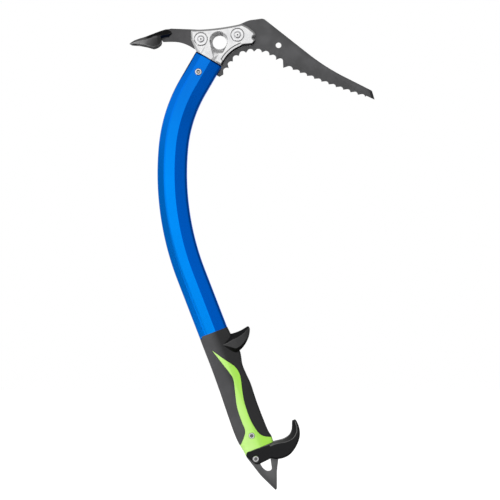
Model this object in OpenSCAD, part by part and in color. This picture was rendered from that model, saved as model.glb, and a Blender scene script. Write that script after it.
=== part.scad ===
// Ice climbing tool: a bent tube shaft with a forged head, a toothed pick and a scoop adze at its top,
// and a moulded grip with two finger rests and a spike plate at its foot.
// The origin is the middle of the carabiner hole in the head. +X points to the pick, +Z up, Y across.
// Outlines in the plane of the tool are [x, z]. Those of the grip are [u, v]: u to the front, v up the
// grip's own axis from its top edge.

/* [Shaft] */
// Front-to-back width of the shaft
shaft_w = 31.7; // [29:0.1:35]
// Thickness of the shaft from side to side
shaft_t = 21; // [19:0.5:24]
// Width of the flat on the front of the shaft
shaft_front_t = 13; // [10:0.5:15]
// Distance from the back of the shaft to the ridge on its sides
shaft_ridge = 19; // [16:0.5:22]
// Rounding of the shaft's back corners
shaft_back_r = 7; // [5:0.5:9]
// Wall of the shaft tube
shaft_wall = 1.6; // [1.3:0.1:2]
// Lean of the shaft's top from upright, degrees
top_lean = 30.3; // [27:0.1:33]
// Straight length below the head
top_straight = 34; // [32:1:45]
// Radius of the upper bend
upper_bend_r = 158; // [140:1:180]
// Turn of the upper bend, degrees
upper_bend_a = 24.9; // [20:0.1:30]
// Radius of the lower bend
lower_bend_r = 301; // [270:1:330]
// Turn of the lower bend, degrees
lower_bend_a = 26.5; // [22:0.1:31]
// Straight length from the lower bend to the grip
lower_straight = 66; // [50:1:90]
// How far the shaft is drawn in under the grip
grip_step = 1.8; // [1.5:0.1:2.2]

/* [Head] */
// Distance from the carabiner hole to the top of the shaft
neck_drop = 21.4; // [20:0.1:24]
// Thickness of the head over its two cheeks
head_t = 18; // [17:0.5:20]
// Bevel along the edges of the cheeks
head_bevel = 1.2; // [0.6:0.1:1.3]
// Radius of the carabiner hole at its throat
hole_r = 7.6; // [6.5:0.1:8.2]
// Radius of the carabiner hole's flared rim
hole_rim_r = 9.4; // [8.6:0.1:9.8]
// Length of the hole's straight throat
hole_throat = 5; // [4:0.5:9]
// Length of the head's tang inside the shaft
tang_len = 30; // [26:1:32]
// Depth of the groove that runs from the hole to the shaft
groove_depth = 4.5; // [3:0.1:5]
// Radius of that groove
groove_r = 8; // [6:0.5:10]

/* [Pick] */
// Reach of the pick's point from the carabiner hole
pick_reach = 166.6; // [156:0.1:178]
// Thickness of the pick
pick_t = 4; // [3:0.1:4.5]
// Radius of the eye in the pick
pick_eye_r = 3.05; // [2.5:0.05:3.5]
// Radius of the arc that the rear teeth stand on
rear_row_r = 33; // [32:0.1:34]
// Gaps between the rear teeth
rear_gaps = 8; // [6:1:9]
// Depth of the rear gaps
rear_gap_depth = 3.2; // [2:0.1:3.6]
// Gaps between the front teeth
front_gaps = 10; // [8:1:12]
// Depth of the front gaps
front_gap_depth = 2.1; // [1.5:0.1:2.6]
// Width of the bevel at the pick's point
tip_bevel = 3; // [2:0.1:4]
// Edge that the bevel leaves at the point
tip_edge = 1; // [0.6:0.1:1.4]
// Length of the pick's tail along the shaft
tail_len = 10.7; // [8:0.1:13]

/* [Adze] */
// Reach of the adze's edge from the carabiner hole
adze_reach = 96; // [90:0.5:104]
// Thickness of the adze's arm
adze_t = 4.6; // [4:0.1:5]
// Width of the adze's blade
adze_w = 32; // [28:1:40]
// Thickness of the blade at its rear
blade_t = 2.8; // [2.2:0.1:3.4]
// Thickness of the blade at its cutting edge
blade_edge_t = 0.8; // [0.5:0.1:1.2]

/* [Grip] */
// Length of the grip from its top edge to the bottom of its collar
grip_len = 132.4; // [124:0.1:145]
// Width of the trigger where it leaves the grip
trigger_w = 25; // [24:0.5:27]
// Width of the lower finger rest
rest_t = 22; // [20:0.5:25]
// Bevel along the edges of the lower finger rest
rest_bevel = 3; // [2:0.1:3.4]

/* [Spike] */
// Thickness of the spike plate
spike_t = 4; // [3:0.1:5]
// Length of the spike below the grip
spike_len = 49.6; // [46:0.1:54]
// Width of the spike's tang inside the plug
spike_tang_w = 15; // [12:0.5:17]
// Length of the spike's tang inside the plug
spike_tang_len = 27; // [24:0.5:32]
// Length of the plug in the end of the shaft
plug_len = 42; // [36:1:50]

/* [Fasteners] */
// Radius of the head bolts
bolt_r = 4; // [3.5:0.1:4.2]
// Width of the bolts' nuts over their flats
nut_w = 13; // [12:0.1:13.4]
// Height of the nuts
nut_h = 4; // [3.5:0.1:4.4]
// Depth of the nuts' pockets
nut_pocket = 3.8; // [3:0.1:4.2]
// Radius of the bolts' heads
bolt_head_r = 6.5; // [6:0.1:7]
// Height of the bolts' heads
bolt_head_h = 4; // [3.5:0.1:5]
// Radius of the washers
washer_r = 7.5; // [7:0.1:7.8]
// Thickness of the washers
washer_t = 1.2; // [1:0.1:1.6]
// Depth of the counterbores for the washers and heads
counterbore = 3.4; // [3:0.1:3.6]
// Radius of the rivet in the shaft's top
rivet_r = 2.5; // [2:0.1:2.8]
// Radius of the rivet's heads
rivet_head_r = 3.9; // [3.5:0.1:4.2]
// Radius of the grip screws' threads
screw_r = 2; // [1.5:0.1:2.2]
// Radius of the screws' sleeve nuts
sleeve_r = 2.9; // [2.7:0.1:3.1]
// Radius of the screws' heads
screw_head_r = 3.3; // [3.2:0.1:3.6]
// Height of the screws' heads
screw_head_h = 2; // [1.6:0.1:2.4]

/* [Hidden] */
$fn = 48;
// Clearances: around a hole's shank, at the sides of a plate in its slot, and of a close fit
hole_gap = 0.15;
slot_gap = 0.1;
fit_gap = 0.1;
corner_steps = 5;
curve_steps = 4;
reach = 60;
// Front and back of the shaft, from its axis
front = shaft_w / 2;
back = -shaft_w / 2;
// Places of the head's two bolts, the pick's eye and the arc of its rear teeth
adze_bolt_at = [-19.4, 2.3];
pick_bolt_at = [19.7, 6.8];
pick_eye_at = [63.6, -3.6];
rear_row_at = [38, -43];
rear_row_from = 166.5;
rear_row_to = 46.2;
// Where the plates' slots end, clear of the hole's rim
slot_end = hole_rim_r + 3.1;
// Places in the shaft's top frame and in the grip's frame: [u, v]
rivet_at = [back + 13.4, -18.1];
grip_screw_at = [-1.3, -grip_len + 14.8];
rest_screw_at = [back + 9.7, -grip_len - 10];
// Half thickness of the grip at its collar
collar_half = shaft_t / 2 + 2.5;
screw_seat = 1.6;
sleeve_len = 13;
socket_r = 1.6;

function unit(v) = v / norm(v);
function at(list, i) = list[(i + len(list)) % len(list)];
function flat(p) = [p.x, p.y];
// Points of a curve taken as outline corners that aren't rounded
function sharp(points) = [for (p = points) [p.x, p.y, 0]];
function arc(centre, r, from, to, steps) =
    [for (k = [0 : steps]) let (a = from + (to - from) * k / steps) centre + r * [cos(a), sin(a)]];

// The arc that rounds one corner of an outline, no longer than the sides beside it allow
function corner_arc(before, here, after, r) =
    let (a = unit(before - here), b = unit(after - here), half = acos(a * b) / 2)
    let (room = 0.49 * min(norm(before - here), norm(after - here)), side = min(r / tan(half), room))
    let (centre = here + unit(a + b) * side / cos(half))
    let (from = here + a * side - centre, to = here + b * side - centre)
    let (start = atan2(from.y, from.x), turn = atan2(to.y, to.x) - start)
    let (sweep = turn > 180 ? turn - 360 : turn < -180 ? turn + 360 : turn)
    arc(centre, norm(from), start, start + sweep, corner_steps);

// Outline whose corners are [x, y, radius]
function rounded(corners) = [for (i = [0 : len(corners) - 1]) each
    corners[i].z == 0 ? [flat(corners[i])]
    : corner_arc(flat(at(corners, i - 1)), flat(corners[i]), flat(at(corners, i + 1)), corners[i].z)];

// Smooth curve through a few points
function blend(a, b, c, d, t) =
    0.5 * ((2 * b) + (c - a) * t + (2 * a - 5 * b + 4 * c - d) * t * t + (3 * b - a - 3 * c + d) * t * t * t);
function spline(p) = let (last = len(p) - 1) concat([for (i = [0 : last - 1], k = [0 : curve_steps - 1])
    blend(p[max(i - 1, 0)], p[i], p[i + 1], p[min(i + 2, last)], k / curve_steps)], [p[last]]);

// Shallow bow from a to b, sinking to the right of the way by sag at its middle
function bow(a, b, sag, t) =
    let (d = unit(b - a)) a + (b - a) * t + [d.y, -d.x] * sag * 4 * t * (1 - t);

// Outline moved inwards by d, for points that run anticlockwise
function inset(p, d) = [for (i = [0 : len(p) - 1])
    let (a = unit(p[i] - at(p, i - 1)), b = unit(at(p, i + 1) - p[i]))
    let (na = [-a.y, a.x], nb = [-b.y, b.x]) p[i] + d * (na + nb) / (1 + na * nb)];

function raised(points, z) = [for (p = points) [p.x, p.y, z]];

// Solid through rings of equally many points, which run anticlockwise seen from the last ring.
// With strips, a ring's ends are closed by strips between its first half and its second.
module loft(rings, strips = false) {
    n = len(rings[0]);
    end = (len(rings) - 1) * n;
    sides = [for (k = [0 : len(rings) - 2], i = [0 : n - 1])
        let (j = (i + 1) % n, low = k * n, high = low + n)
        each [[low + i, high + i, high + j], [low + i, high + j, low + j]]];
    whole = [[for (i = [0 : n - 1]) i], [for (i = [n - 1 : -1 : 0]) end + i]];
    strip = [for (i = [0 : n / 2 - 2]) let (j = n - 1 - i, a = end + i, b = end + j)
        each [[i, i + 1, j - 1], [i, j - 1, j], [b, b - 1, a], [b - 1, a + 1, a]]];
    polyhedron([for (ring = rings) each ring], concat(strips ? strip : whole, sides), convexity = 8);
}

// Plate of thickness t in the plane of the tool, middle on Y = y
module plate(t, y = 0) {
    translate([0, y, 0]) rotate([90, 0, 0]) linear_extrude(t, center = true) children();
}

// The same with bevelled edges, whose slopes run a little past the faces that the slab then cuts
module bevelled_plate(points, t, bevel) {
    past = 0.1;
    small = inset(points, bevel + past);
    intersection() {
        rotate([90, 0, 0]) loft([raised(small, -t / 2 - past), raised(points, bevel - t / 2),
            raised(points, t / 2 - bevel), raised(small, t / 2 + past)]);
        translate([-4 * reach, -t / 2, -4 * reach]) cube([8 * reach, t, 8 * reach]);
    }
}

// Round bar or hole across the tool at a place in its plane
module across(place, r, from, to) {
    translate([place.x, to, place.y]) rotate([90, 0, 0]) cylinder(r = r, h = to - from);
}

// Section of the shaft, its front to +x, drawn in by d or let out by proud edges [back, front, side]
function shaft_section(d = 0, proud = [0, 0, 0]) =
    let (b = back + d - proud[0], f = front - d + proud[1], half = shaft_t / 2 - d + proud[2])
    let (half_front = shaft_front_t / 2 - d / 2 + proud[2] / 2, ridge = back + shaft_ridge)
    let (back_r = shaft_back_r - d)
    rounded([[b, -half, back_r], [ridge, -half, 2.5], [f, -half_front, 3.5],
        [f, half_front, 3.5], [ridge, half, 2.5], [b, half, back_r]]);

module on_head_axis() { rotate([0, top_lean, 0]) children(); }
module at_shaft_top() { on_head_axis() translate([0, 0, -neck_drop]) children(); }
module after_bend(r, a) { translate([r, 0, 0]) rotate([0, -a, 0]) translate([-r, 0, 0]) children(); }
module at_upper_bend() { at_shaft_top() translate([0, 0, -top_straight]) children(); }
module at_lower_bend() { at_upper_bend() after_bend(upper_bend_r, upper_bend_a) children(); }
module at_lower_straight() { at_lower_bend() after_bend(lower_bend_r, lower_bend_a) children(); }
module at_grip() { at_lower_straight() translate([0, 0, -lower_straight]) children(); }
// A place in the shaft's top frame as a place in the tool's plane
function shaft_point(u, v) = let (w = v - neck_drop)
    [u * cos(top_lean) + w * sin(top_lean), w * cos(top_lean) - u * sin(top_lean)];

// Straight and bent stretches of the shaft's section, going down from v = from or from the bend's start
module straight(points, from, to) {
    translate([0, 0, to]) linear_extrude(from - to) polygon(points);
}
module bend(points, r, a, lead = 0) {
    translate([r, 0, 0]) rotate([90, 0, 0]) rotate([0, 0, 180 - lead])
        rotate_extrude(angle = a + lead, $fn = 180) translate([r, 0]) mirror([1, 0]) polygon(points);
}
// The stretches lap a little, each straight a hair fuller than its bend, to join as one piece
module shaft_sweep(d, down) {
    lap = 0.5;
    hair = 0.03;
    at_shaft_top() straight(shaft_section(d), d > 0 ? lap : 0, -top_straight - lap);
    at_upper_bend() bend(shaft_section(d + 2 * hair), upper_bend_r, upper_bend_a);
    at_lower_bend() bend(shaft_section(d + hair), lower_bend_r, lower_bend_a, lap / lower_bend_r * 180 / PI);
    at_lower_straight() straight(shaft_section(d), lap, -down);
}

// The tube, with a thicker stretch where it is drawn in to the grip's bore
module shaft() {
    step_len = 5;
    color("dodgerblue") difference() {
        union() {
            shaft_sweep(0, lower_straight);
            at_grip() straight(shaft_section(grip_step), step_len / 2, -grip_len);
        }
        shaft_sweep(shaft_wall, lower_straight - step_len);
        at_grip() straight(shaft_section(grip_step + shaft_wall), step_len + 1, -grip_len - 1);
        at_shaft_top() across(rivet_at, rivet_r + hole_gap, -shaft_t, shaft_t);
        at_grip() across(grip_screw_at, sleeve_r + hole_gap, -shaft_t, shaft_t);
    }
}

// Outline of the head's cheeks, from the shaft's back round the nose and over the top
function head_outline() =
    let (rear_top = adze_bolt_at + [-10.8, 10.1], nose_top = pick_bolt_at + [4.5, 12])
    let (lower_edge = spline([shaft_point(front - 1.2, 4.2), [7.2, -16.6], [10.8, -12.5], [16.6, -8],
        [25.4, -3.6]]))
    let (nose = [[15.4, -9.8, 2.6], [18.6, -6, 2.2], [15.1, -2.8, 1], [19.2, 0.2, 2.2], [17.2, 3.4, 4],
        [11.4, 8.7, 8]])
    rounded(concat(
        sharp([shaft_point(back, 0), shaft_point(front, 0)]),
        sharp(lower_edge),
        [for (c = nose) [pick_bolt_at.x + c.x, pick_bolt_at.y + c.y, c.z]],
        [[nose_top.x, nose_top.y, 6]],
        sharp([for (k = [1 : 5]) bow(nose_top, rear_top, -1.6, k / 6)]),
        [[rear_top.x, rear_top.y, 2], [rear_top.x, adze_bolt_at.y, 4]]));

// Rear edge of the pick in the head's slot, from the top of the shaft up to the tang
function pick_seat(gap) =
    [shaft_point(front + gap, 0), [1.4 + gap, -18], [6.3 + gap, -9.6], [slot_end + gap, -3.6]];
// Lower edge of the adze's arm in the head's slot, from the hole outwards
function adze_seat(gap) =
    [[-slot_end - gap, adze_bolt_at.y - 5 + gap], [-26.4, adze_bolt_at.y - 10 + gap]];

// Neck that tapers from the shaft's thickness to the cheeks
neck_len = 14;
function neck_half(v) = shaft_t / 2 + (head_t / 2 - 0.2 - shaft_t / 2) * (v - 2) / (neck_len - 2);
module neck() {
    past = 1;
    low = neck_half(-past);
    high = neck_half(neck_len + past);
    intersection() {
        straight(shaft_section(0, [0, -2.2, 0]), neck_len, 0);
        rotate([90, 0, 90]) linear_extrude(reach, center = true)
            polygon([[-low, -past], [low, -past], [high, neck_len + past], [-high, neck_len + past]]);
    }
}

// Cheeks and neck, and the tang inside the shaft
module head_blank() {
    bevelled_plate(head_outline(), head_t, head_bevel);
    at_shaft_top() neck();
    at_shaft_top() straight(shaft_section(shaft_wall + fit_gap), 1, -tang_len);
}

// Groove from the carabiner hole down the neck, fading out above the shaft
module head_groove(side) {
    start = head_t / 2 - groove_depth + groove_r;
    fade = shaft_t / 2 + groove_r - start;
    tilt = atan(fade / (neck_drop - 3));
    on_head_axis() translate([0, side * start, 0]) rotate([side * tilt, 0, 0]) mirror([0, 0, 1])
        cylinder(r = groove_r, h = reach);
}

// The hole's straight throat and the flares to its two rims, which run on past the head's faces
module carabiner_hole() {
    throat = hole_throat / 2;
    past = 2;
    face = head_t / 2 + past;
    wide = hole_rim_r + (hole_rim_r - hole_r) / (head_t / 2 - throat) * past;
    rotate([90, 0, 0]) rotate_extrude()
        polygon([[0, -face], [wide, -face], [hole_r, -throat], [hole_r, throat], [wide, face], [0, face]]);
}

module head() {
    color("silver") difference() {
        difference() {
            head_blank();
            for (side = [-1, 1]) head_groove(side);
        }
        carabiner_hole();
        // Slots of the pick and of the adze, open to the front, to the rear and at the top
        plate(pick_t + 2 * slot_gap) polygon(concat([[reach, -reach]],
            pick_seat(0), [[slot_end, reach], [reach, reach]]));
        plate(adze_t + 2 * slot_gap) polygon(concat([[-slot_end, reach]],
            adze_seat(0), [[-reach, adze_seat(0)[1].y], [-reach, reach]]));
        // Bolt holes, with a hexagon pocket on one face and a counterbore on the other
        for (place = [adze_bolt_at, pick_bolt_at]) {
            across(place, bolt_r + hole_gap, -head_t, head_t);
            across(place, washer_r + hole_gap, head_t / 2 - counterbore, head_t);
            translate([place.x, nut_pocket - head_t / 2, place.y]) rotate([90, 0, 0])
                cylinder(d = (nut_w + 0.6) / cos(30), h = head_t, $fn = 6);
        }
        at_shaft_top() across(rivet_at, rivet_r + hole_gap, -shaft_t, shaft_t);
    }
}

// Hollow rivet through the shaft and the head's tang
module head_rivet() {
    dome = 1.2;
    color("gainsboro") at_shaft_top() difference() {
        union() {
            across(rivet_at, rivet_r, -shaft_t / 2, shaft_t / 2);
            for (side = [-1, 1])
                translate([rivet_at.x, side * shaft_t / 2, rivet_at.y]) rotate([-90 * side, 0, 0])
                    cylinder(r1 = rivet_head_r, r2 = rivet_head_r - 1, h = dome);
        }
        across(rivet_at, rivet_r - 1, -shaft_t, shaft_t);
    }
}

// Edge of the gap between two teeth: a slope up from the first tip's land, then a round drop to the second's
tip_land = 0.4;
function tooth_gap(from, to, depth) =
    let (length = norm(to - from), way = unit(to - from), side = [-way.y, way.x])
    let (r = max(0.36 * length, depth * 1.2), near = tip_land / 2, far = length - tip_land / 2)
    let (drop = arc([far - 0.98 * r, depth - r], r, 118, asin(1 - depth / r) + 4, 8))
    [for (p = concat([[near, 0]], drop, [[far, 0]])) from + way * p.x + side * p.y];

// Teeth of the pick: the hooked tooth between the rows, the front row's ends and its point
hook_tip = [68.5, -27.6];
front_row_from = [79.1, -29.7];
pick_point = [pick_reach, -61.8];
pick_brow = pick_point + [-2.8, 9.4];
front_row_to = pick_point + [-9.9, 2.9];
function rear_tip(i) = rear_row_at + rear_row_r * [for (a = rear_row_from
    + (rear_row_to - rear_row_from) * i / rear_gaps) each [cos(a), sin(a)]];
function front_tip(i) = bow(front_row_from, front_row_to, 1.1, i / front_gaps);

module pick_outline() {
    rear_teeth = [for (i = [0 : rear_gaps - 1]) each
        tooth_gap(rear_tip(i), rear_tip(i + 1), rear_gap_depth)];
    front_teeth = [for (i = [0 : front_gaps - 1]) each
        tooth_gap(front_tip(i), front_tip(i + 1), front_gap_depth)];
    difference() {
        polygon(rounded(concat(
            sharp([shaft_point(front + fit_gap, -tail_len), shaft_point(front + 3.2, -tail_len)]),
            sharp(rear_teeth),
            [[68.2, -16.2, 4]],
            sharp(tooth_gap(hook_tip, front_row_from, rear_gap_depth)),
            sharp(front_teeth),
            sharp([front_row_to + [1.2, 1.3], pick_point]),
            [[pick_brow.x, pick_brow.y, 0.8], [114, -27.3, 230], [47.4, 25.1, 6], [31.5, 23, 22]],
            [[pick_bolt_at.x + 4.3, pick_bolt_at.y + 12.8, 8]],
            [[slot_end + slot_gap, pick_bolt_at.y + 8.5, 1.5]],
            sharp([for (i = [3 : -1 : 0]) pick_seat(slot_gap)[i]]))));
        translate(pick_eye_at) circle(r = pick_eye_r);
        translate(pick_bolt_at) circle(r = bolt_r + hole_gap);
    }
}

module pick() {
    edge = pick_point - pick_brow;
    slope = atan((pick_t - tip_edge) / 2 / tip_bevel);
    color("dimgray") difference() {
        plate(pick_t) pick_outline();
        // Bevels on both faces along the point's front edge
        for (side = [-1, 1])
            translate([pick_brow.x, side * tip_edge / 2, pick_brow.y]) rotate([0, -atan2(edge.y, edge.x), 0])
                rotate([side * slope, 0, 0]) translate([-10, side > 0 ? 0 : -10, -20]) cube([40, 10, 40]);
    }
}

// Adze: a roof from the blade's ridge to a crease on each side, and a wing from each crease to its edge.
// Heights of these lines along X, half widths along X as shares of the blade's width, and the wing's rear
// edge as X over its fall from the crease
tip_x = -adze_reach;
ridge_line = [[tip_x, -1.8], [tip_x + 5, 1.6], [tip_x + 10, 3.5], [tip_x + 16, 5.3], [-70.5, 8.9],
    [-63.4, 11.7], [-57.7, 13.5], [-50, 14.1]];
crease_line = [[tip_x, -2.9], [tip_x + 6, -1.2], [tip_x + 17, 1.2], [-73, 3.6], [-68.5, 5.7], [-64, 6.3],
    [-58, 6.9], [-50, 9.2]];
edge_line = [[tip_x, -2.6], [tip_x + 3.5, -2.9], [tip_x + 11, -3.4], [-77.4, -4.8], [-69.5, -6.9],
    [-60, -9.5]];
crease_half = [[tip_x, 0.375], [tip_x + 11, 0.394], [-66, 0.375], [-58, 0.234], [-50, 0.069]];
edge_half = [[tip_x, 0.378], [tip_x + 6, 0.394], [tip_x + 11, 0.413], [-77, 0.45], [-70, 0.5], [-60, 0.516]];
wing_rear = [[0, -62.8], [0.2, -61.9], [0.43, -61.4], [0.6, -62.6], [0.8, -65.8], [1, -70.3]];
roof_rear_x = -50;
// Places across one half of the blade: 0 at the ridge, 1 at the crease and 2 at the wing's edge
blade_shares = [0, 0.5, 1, 1.12, 1.35, 1.6, 1.8, 2];
function blade_point(s, k, inside) =
    let (share = blade_shares[abs(k)], fall = max(0, share - 1), tip = tip_x + 0.6 * fall)
    let (rear = fall == 0 ? roof_rear_x : lookup(fall, wing_rear), x = tip + (rear - tip) * s)
    let (thick = blade_edge_t + (blade_t - blade_edge_t) * min(1, s * 3))
    let (ridge = lookup(x, ridge_line), crease = lookup(x, crease_line), edge = lookup(x, edge_line))
    let (half = adze_w * lookup(x, crease_half), wide = adze_w * lookup(x, edge_half))
    let (y = fall == 0 ? half * share : half + (wide - half) * pow(fall, 1.2))
    let (z = fall == 0 ? ridge + (crease - ridge) * pow(share, 1.8) : crease + (edge - crease) * fall)
    let (inner_y = fall == 0 ? y * (1 - min(0.8, 0.9 * thick * share / half)) : y - thick)
    inside ? [x, sign(k) * inner_y, z - thick * pow(1 - fall, 2)] : [x, sign(k) * y, z];
function blade_ring(s) = let (n = len(blade_shares) - 1)
    concat([for (k = [-n : n]) blade_point(s, k, true)], [for (k = [n : -1 : -n]) blade_point(s, k, false)]);

module adze() {
    arm_top = adze_bolt_at.y + 11.9;
    seat = adze_seat(slot_gap);
    color("dimgray") difference() {
        union() {
            plate(adze_t) polygon(rounded(concat(
                sharp([seat[0], seat[1]]),
                sharp(spline([[-28.4, -6.3], [-31.1, -4.7], [-37, -2], [-43.3, -0.3], [-50, 0.2], [-60, 0]])),
                [[-64, 5, 2], [-61, 11, 4], [-52, arm_top, 8], [-slot_end - slot_gap, arm_top - 1.5, 1.5]])));
            loft([for (k = [0 : 12]) blade_ring(k / 12)], strips = true);
        }
        across(adze_bolt_at, bolt_r + hole_gap, -head_t, head_t);
    }
}

// Bolt with a socket head on the far face and a bevelled end in the nut
module head_bolt(place) {
    seat = head_t / 2 - counterbore + washer_t;
    end = nut_pocket - head_t / 2 - nut_h - 0.5;
    bevel = 1.2;
    color("lightgray") difference() {
        union() {
            across(place, bolt_r, end + bevel, seat);
            translate([place.x, end + bevel, place.y]) rotate([90, 0, 0])
                cylinder(r1 = bolt_r, r2 = bolt_r - bevel, h = bevel);
            across(place, bolt_head_r, seat, seat + bolt_head_h);
        }
        translate([place.x, seat + bolt_head_h + 1, place.y]) rotate([90, 0, 0])
            cylinder(r = bolt_r * 0.8, h = bolt_head_h * 0.6 + 1, $fn = 6);
    }
}
module bolt_washer(place) {
    seat = head_t / 2 - counterbore;
    color("gainsboro") difference() {
        across(place, washer_r, seat, seat + washer_t);
        across(place, bolt_r + hole_gap, seat - 1, seat + washer_t + 1);
    }
}
// Hexagon nut in its pocket, its outer corners bevelled
module bolt_nut(place) {
    seat = nut_pocket - head_t / 2;
    corner = nut_w / 2 / cos(30);
    color("gainsboro") difference() {
        intersection() {
            translate([place.x, seat, place.y]) rotate([90, 0, 0]) cylinder(r = corner, h = nut_h, $fn = 6);
            translate([place.x, seat, place.y]) rotate([90, 0, 0])
                cylinder(r1 = corner + nut_h * 1.6, r2 = nut_w / 2 - 0.2, h = nut_h);
        }
        across(place, bolt_r + 0.05, -head_t, head_t);
    }
}
module pick_bolt() { head_bolt(pick_bolt_at); }
module pick_bolt_washer() { bolt_washer(pick_bolt_at); }
module pick_nut() { bolt_nut(pick_bolt_at); }
module adze_bolt() { head_bolt(adze_bolt_at); }
module adze_bolt_washer() { bolt_washer(adze_bolt_at); }
module adze_nut() { bolt_nut(adze_bolt_at); }

// Grip: how far it stands proud of the shaft, [v, back, front, side], from its lip up to its top edge
lip = 5;
grip_stations = [[-grip_len - lip, -0.6, 1.8, 2.4], [-grip_len, -0.4, 1.8, 2.5],
    [-grip_len + 6, 0.6, 2.2, 2.5], [-grip_len + 12, 1.7, 1, 2.5], [-grip_len + 24, 2.3, 0.6, 2.5],
    [-grip_len + 46, 1.7, 0.7, 2.3], [-66, 0.8, 1.6, 2.2], [-55, 0.4, 0.9, 2.1], [-44, 0.1, 0.7, 2],
    [-34, 0, 2.8, 2], [-28, 0, 3.3, 2], [-14, 0.1, 1.4, 1.4], [-5, 0.1, 0.5, 0.6], [0, 0, 0, 0]];
module grip_body() {
    loft([for (s = grip_stations) raised(shaft_section(0, [s[1], s[2], s[3]]), s[0])]);
}
module grip_bore() { straight(shaft_section(grip_step - fit_gap), 1, -grip_len - lip - 1); }

// Outline of the inlay: a stripe that widens into the collar, and a lip round the lower rest's rear corner
rest_corner_r = 4;
function inlay_outline() =
    let (stripe_front = [[-8.3, -17.2], [1.6, -32.2], [8.2, -42], [10.3, -50.5], [9.4, -58],
        [6.3, -70.4], [4.1, -83], [3.6, -grip_len + 31], [6.2, -grip_len + 16.3],
        [10.5, -grip_len + 9.7], [front + 1.5, -grip_len + 6]])
    let (stripe_back = [[back + 0.5, -grip_len + 10], [-6.4, -grip_len + 21], [-5.8, -grip_len + 32],
        [-5, -83.9], [-0.4, -64.9], [2, -54.7], [1, -47.5], [-3.9, -31.3]])
    let (corner = [back + 1.3 + rest_corner_r, -grip_len - rest_corner_r])
    concat(spline(stripe_front), [[front + reach, -grip_len + 6], [front + reach, -grip_len]],
        arc(corner, rest_corner_r + fit_gap, 90, 180, corner_steps),
        [[back - reach, -grip_len - rest_corner_r], [back - reach, -grip_len + 10]], spline(stripe_back));

// Counterbores for a screw's two heads, down to the seats at half minus screw_seat
module screw_seats(place, half) {
    seat = half - screw_seat;
    across(place, screw_head_r + hole_gap, seat, half + reach);
    across(place, screw_head_r + hole_gap, -half - reach, -seat);
    across(place, sleeve_r + hole_gap, -half - reach, half + reach);
}

module grip_inlay() {
    color("greenyellow") at_grip() difference() {
        intersection() {
            grip_body();
            plate(2 * reach) polygon(inlay_outline());
        }
        grip_bore();
        screw_seats(grip_screw_at, collar_half);
    }
}

module grip_rubber() {
    color("dimgray") at_grip() difference() {
        grip_body();
        plate(2 * reach) polygon(inlay_outline());
        translate([-reach, -reach, -grip_len - reach + 5]) cube(2 * [reach, reach, reach / 2]);
        grip_bore();
        trigger_horn();
    }
}

// Trigger: [distance in front of the shaft, top v, bottom v, share of the width]
trigger_stations = [[-10.4, -13.6, -16, 0.9], [-6, -11, -23, 0.98], [0, -8.6, -28.2, 1],
    [3.5, -8.8, -28.3, 0.97], [8, -9, -26.4, 0.88], [13, -8.7, -23, 0.76], [17.5, -7.9, -18.6, 0.6],
    [20.6, -7.4, -14, 0.44], [22, -8.6, -10.8, 0.26]];
function horn_ring(s) =
    let (u = front + s[0], top = s[1], low = s[2], half = trigger_w / 2 * s[3], r = min(4, (top - low) / 2.2))
    [for (p = rounded([[-half, low, r], [half, low, r], [half, top, r], [-half, top, r]])) [u, p.x, p.y]];
module trigger_horn() { loft([for (s = trigger_stations) horn_ring(s)]); }
module trigger() {
    color("black") at_grip() difference() {
        trigger_horn();
        grip_bore();
    }
}

// Plug in the shaft's end, slotted for the spike's tang
module spike_plug() {
    slot_top = -grip_len + spike_tang_len + fit_gap;
    color("gray") at_grip() difference() {
        straight(shaft_section(grip_step + shaft_wall + fit_gap), -grip_len + plug_len, -grip_len);
        plate(spike_t + 2 * slot_gap) translate([-spike_tang_w / 2 - fit_gap, slot_top - reach])
            square([spike_tang_w + 2 * fit_gap, reach]);
        across(grip_screw_at, sleeve_r + hole_gap, -shaft_t, shaft_t);
    }
}

// Spike plate with its leash eye and the tang that the plug holds
module spike() {
    low = -grip_len;
    half = spike_tang_w / 2;
    color("dimgray") at_grip() plate(spike_t) difference() {
        polygon(rounded([[half, low + spike_tang_len, 2], [-half, low + spike_tang_len, 2],
            [-half, low - fit_gap, 0], [back + 4.2, low - fit_gap, 0], [back + 1.4, low - 4, 3],
            [back + 0.6, low - 5, 0], [back + 8, low - 29.4, 60], [1.4, low - spike_len, 0.6],
            [3.2, low - spike_len + 1, 0], [9.8, low - 31.4, 20], [front, low - 18, 6],
            [front + 0.2, low - fit_gap, 1], [half, low - fit_gap, 0]]));
        polygon(rounded([[-4.4, low - 13.6, 1.2], [-4, low - 22, 5], [-0.6, low - 27.2, 5],
            [5.4, low - 28.6, 5], [8.9, low - 13.6, 1.2]]));
        translate(grip_screw_at) circle(r = sleeve_r + hole_gap);
        translate(rest_screw_at) circle(r = sleeve_r + hole_gap);
    }
}

// Lower finger rest: a fork over the spike plate that runs out into a hook.
// Hook: [top u, top v, bottom u, bottom v, width], u from the shaft's front and v from the grip's end
hook_stations = [[-6, 0, -7, -15.3, 1], [0, 0, 0, -18.8, 1], [6, -0.6, 7.6, -19.8, 1],
    [12.6, -1.3, 14.6, -18.5, 0.98], [17.6, -0.6, 21.6, -14.3, 0.93], [21.4, 1.1, 27.4, -8.9, 0.86],
    [24.4, 4.2, 31.2, -3.2, 0.77], [26.4, 8, 33.2, 3.8, 0.67], [27.8, 11.6, 33.2, 10.4, 0.56],
    [29, 13.8, 32.4, 13.4, 0.44]];
function hook_ring(s) =
    let (top = [front + s[0], s[1] - grip_len], low = [front + s[2], s[3] - grip_len])
    let (height = norm(top - low), up = unit(top - low), half = rest_t / 2 * s[4])
    let (top_r = min(rest_bevel, height / 2.2), low_r = min(2, height / 4))
    [for (p = rounded([[-half, 0, low_r], [half, 0, low_r], [half, height, top_r], [-half, height, top_r]]))
        [low.x + up.x * p.y, p.x, low.y + up.y * p.y]];
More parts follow.
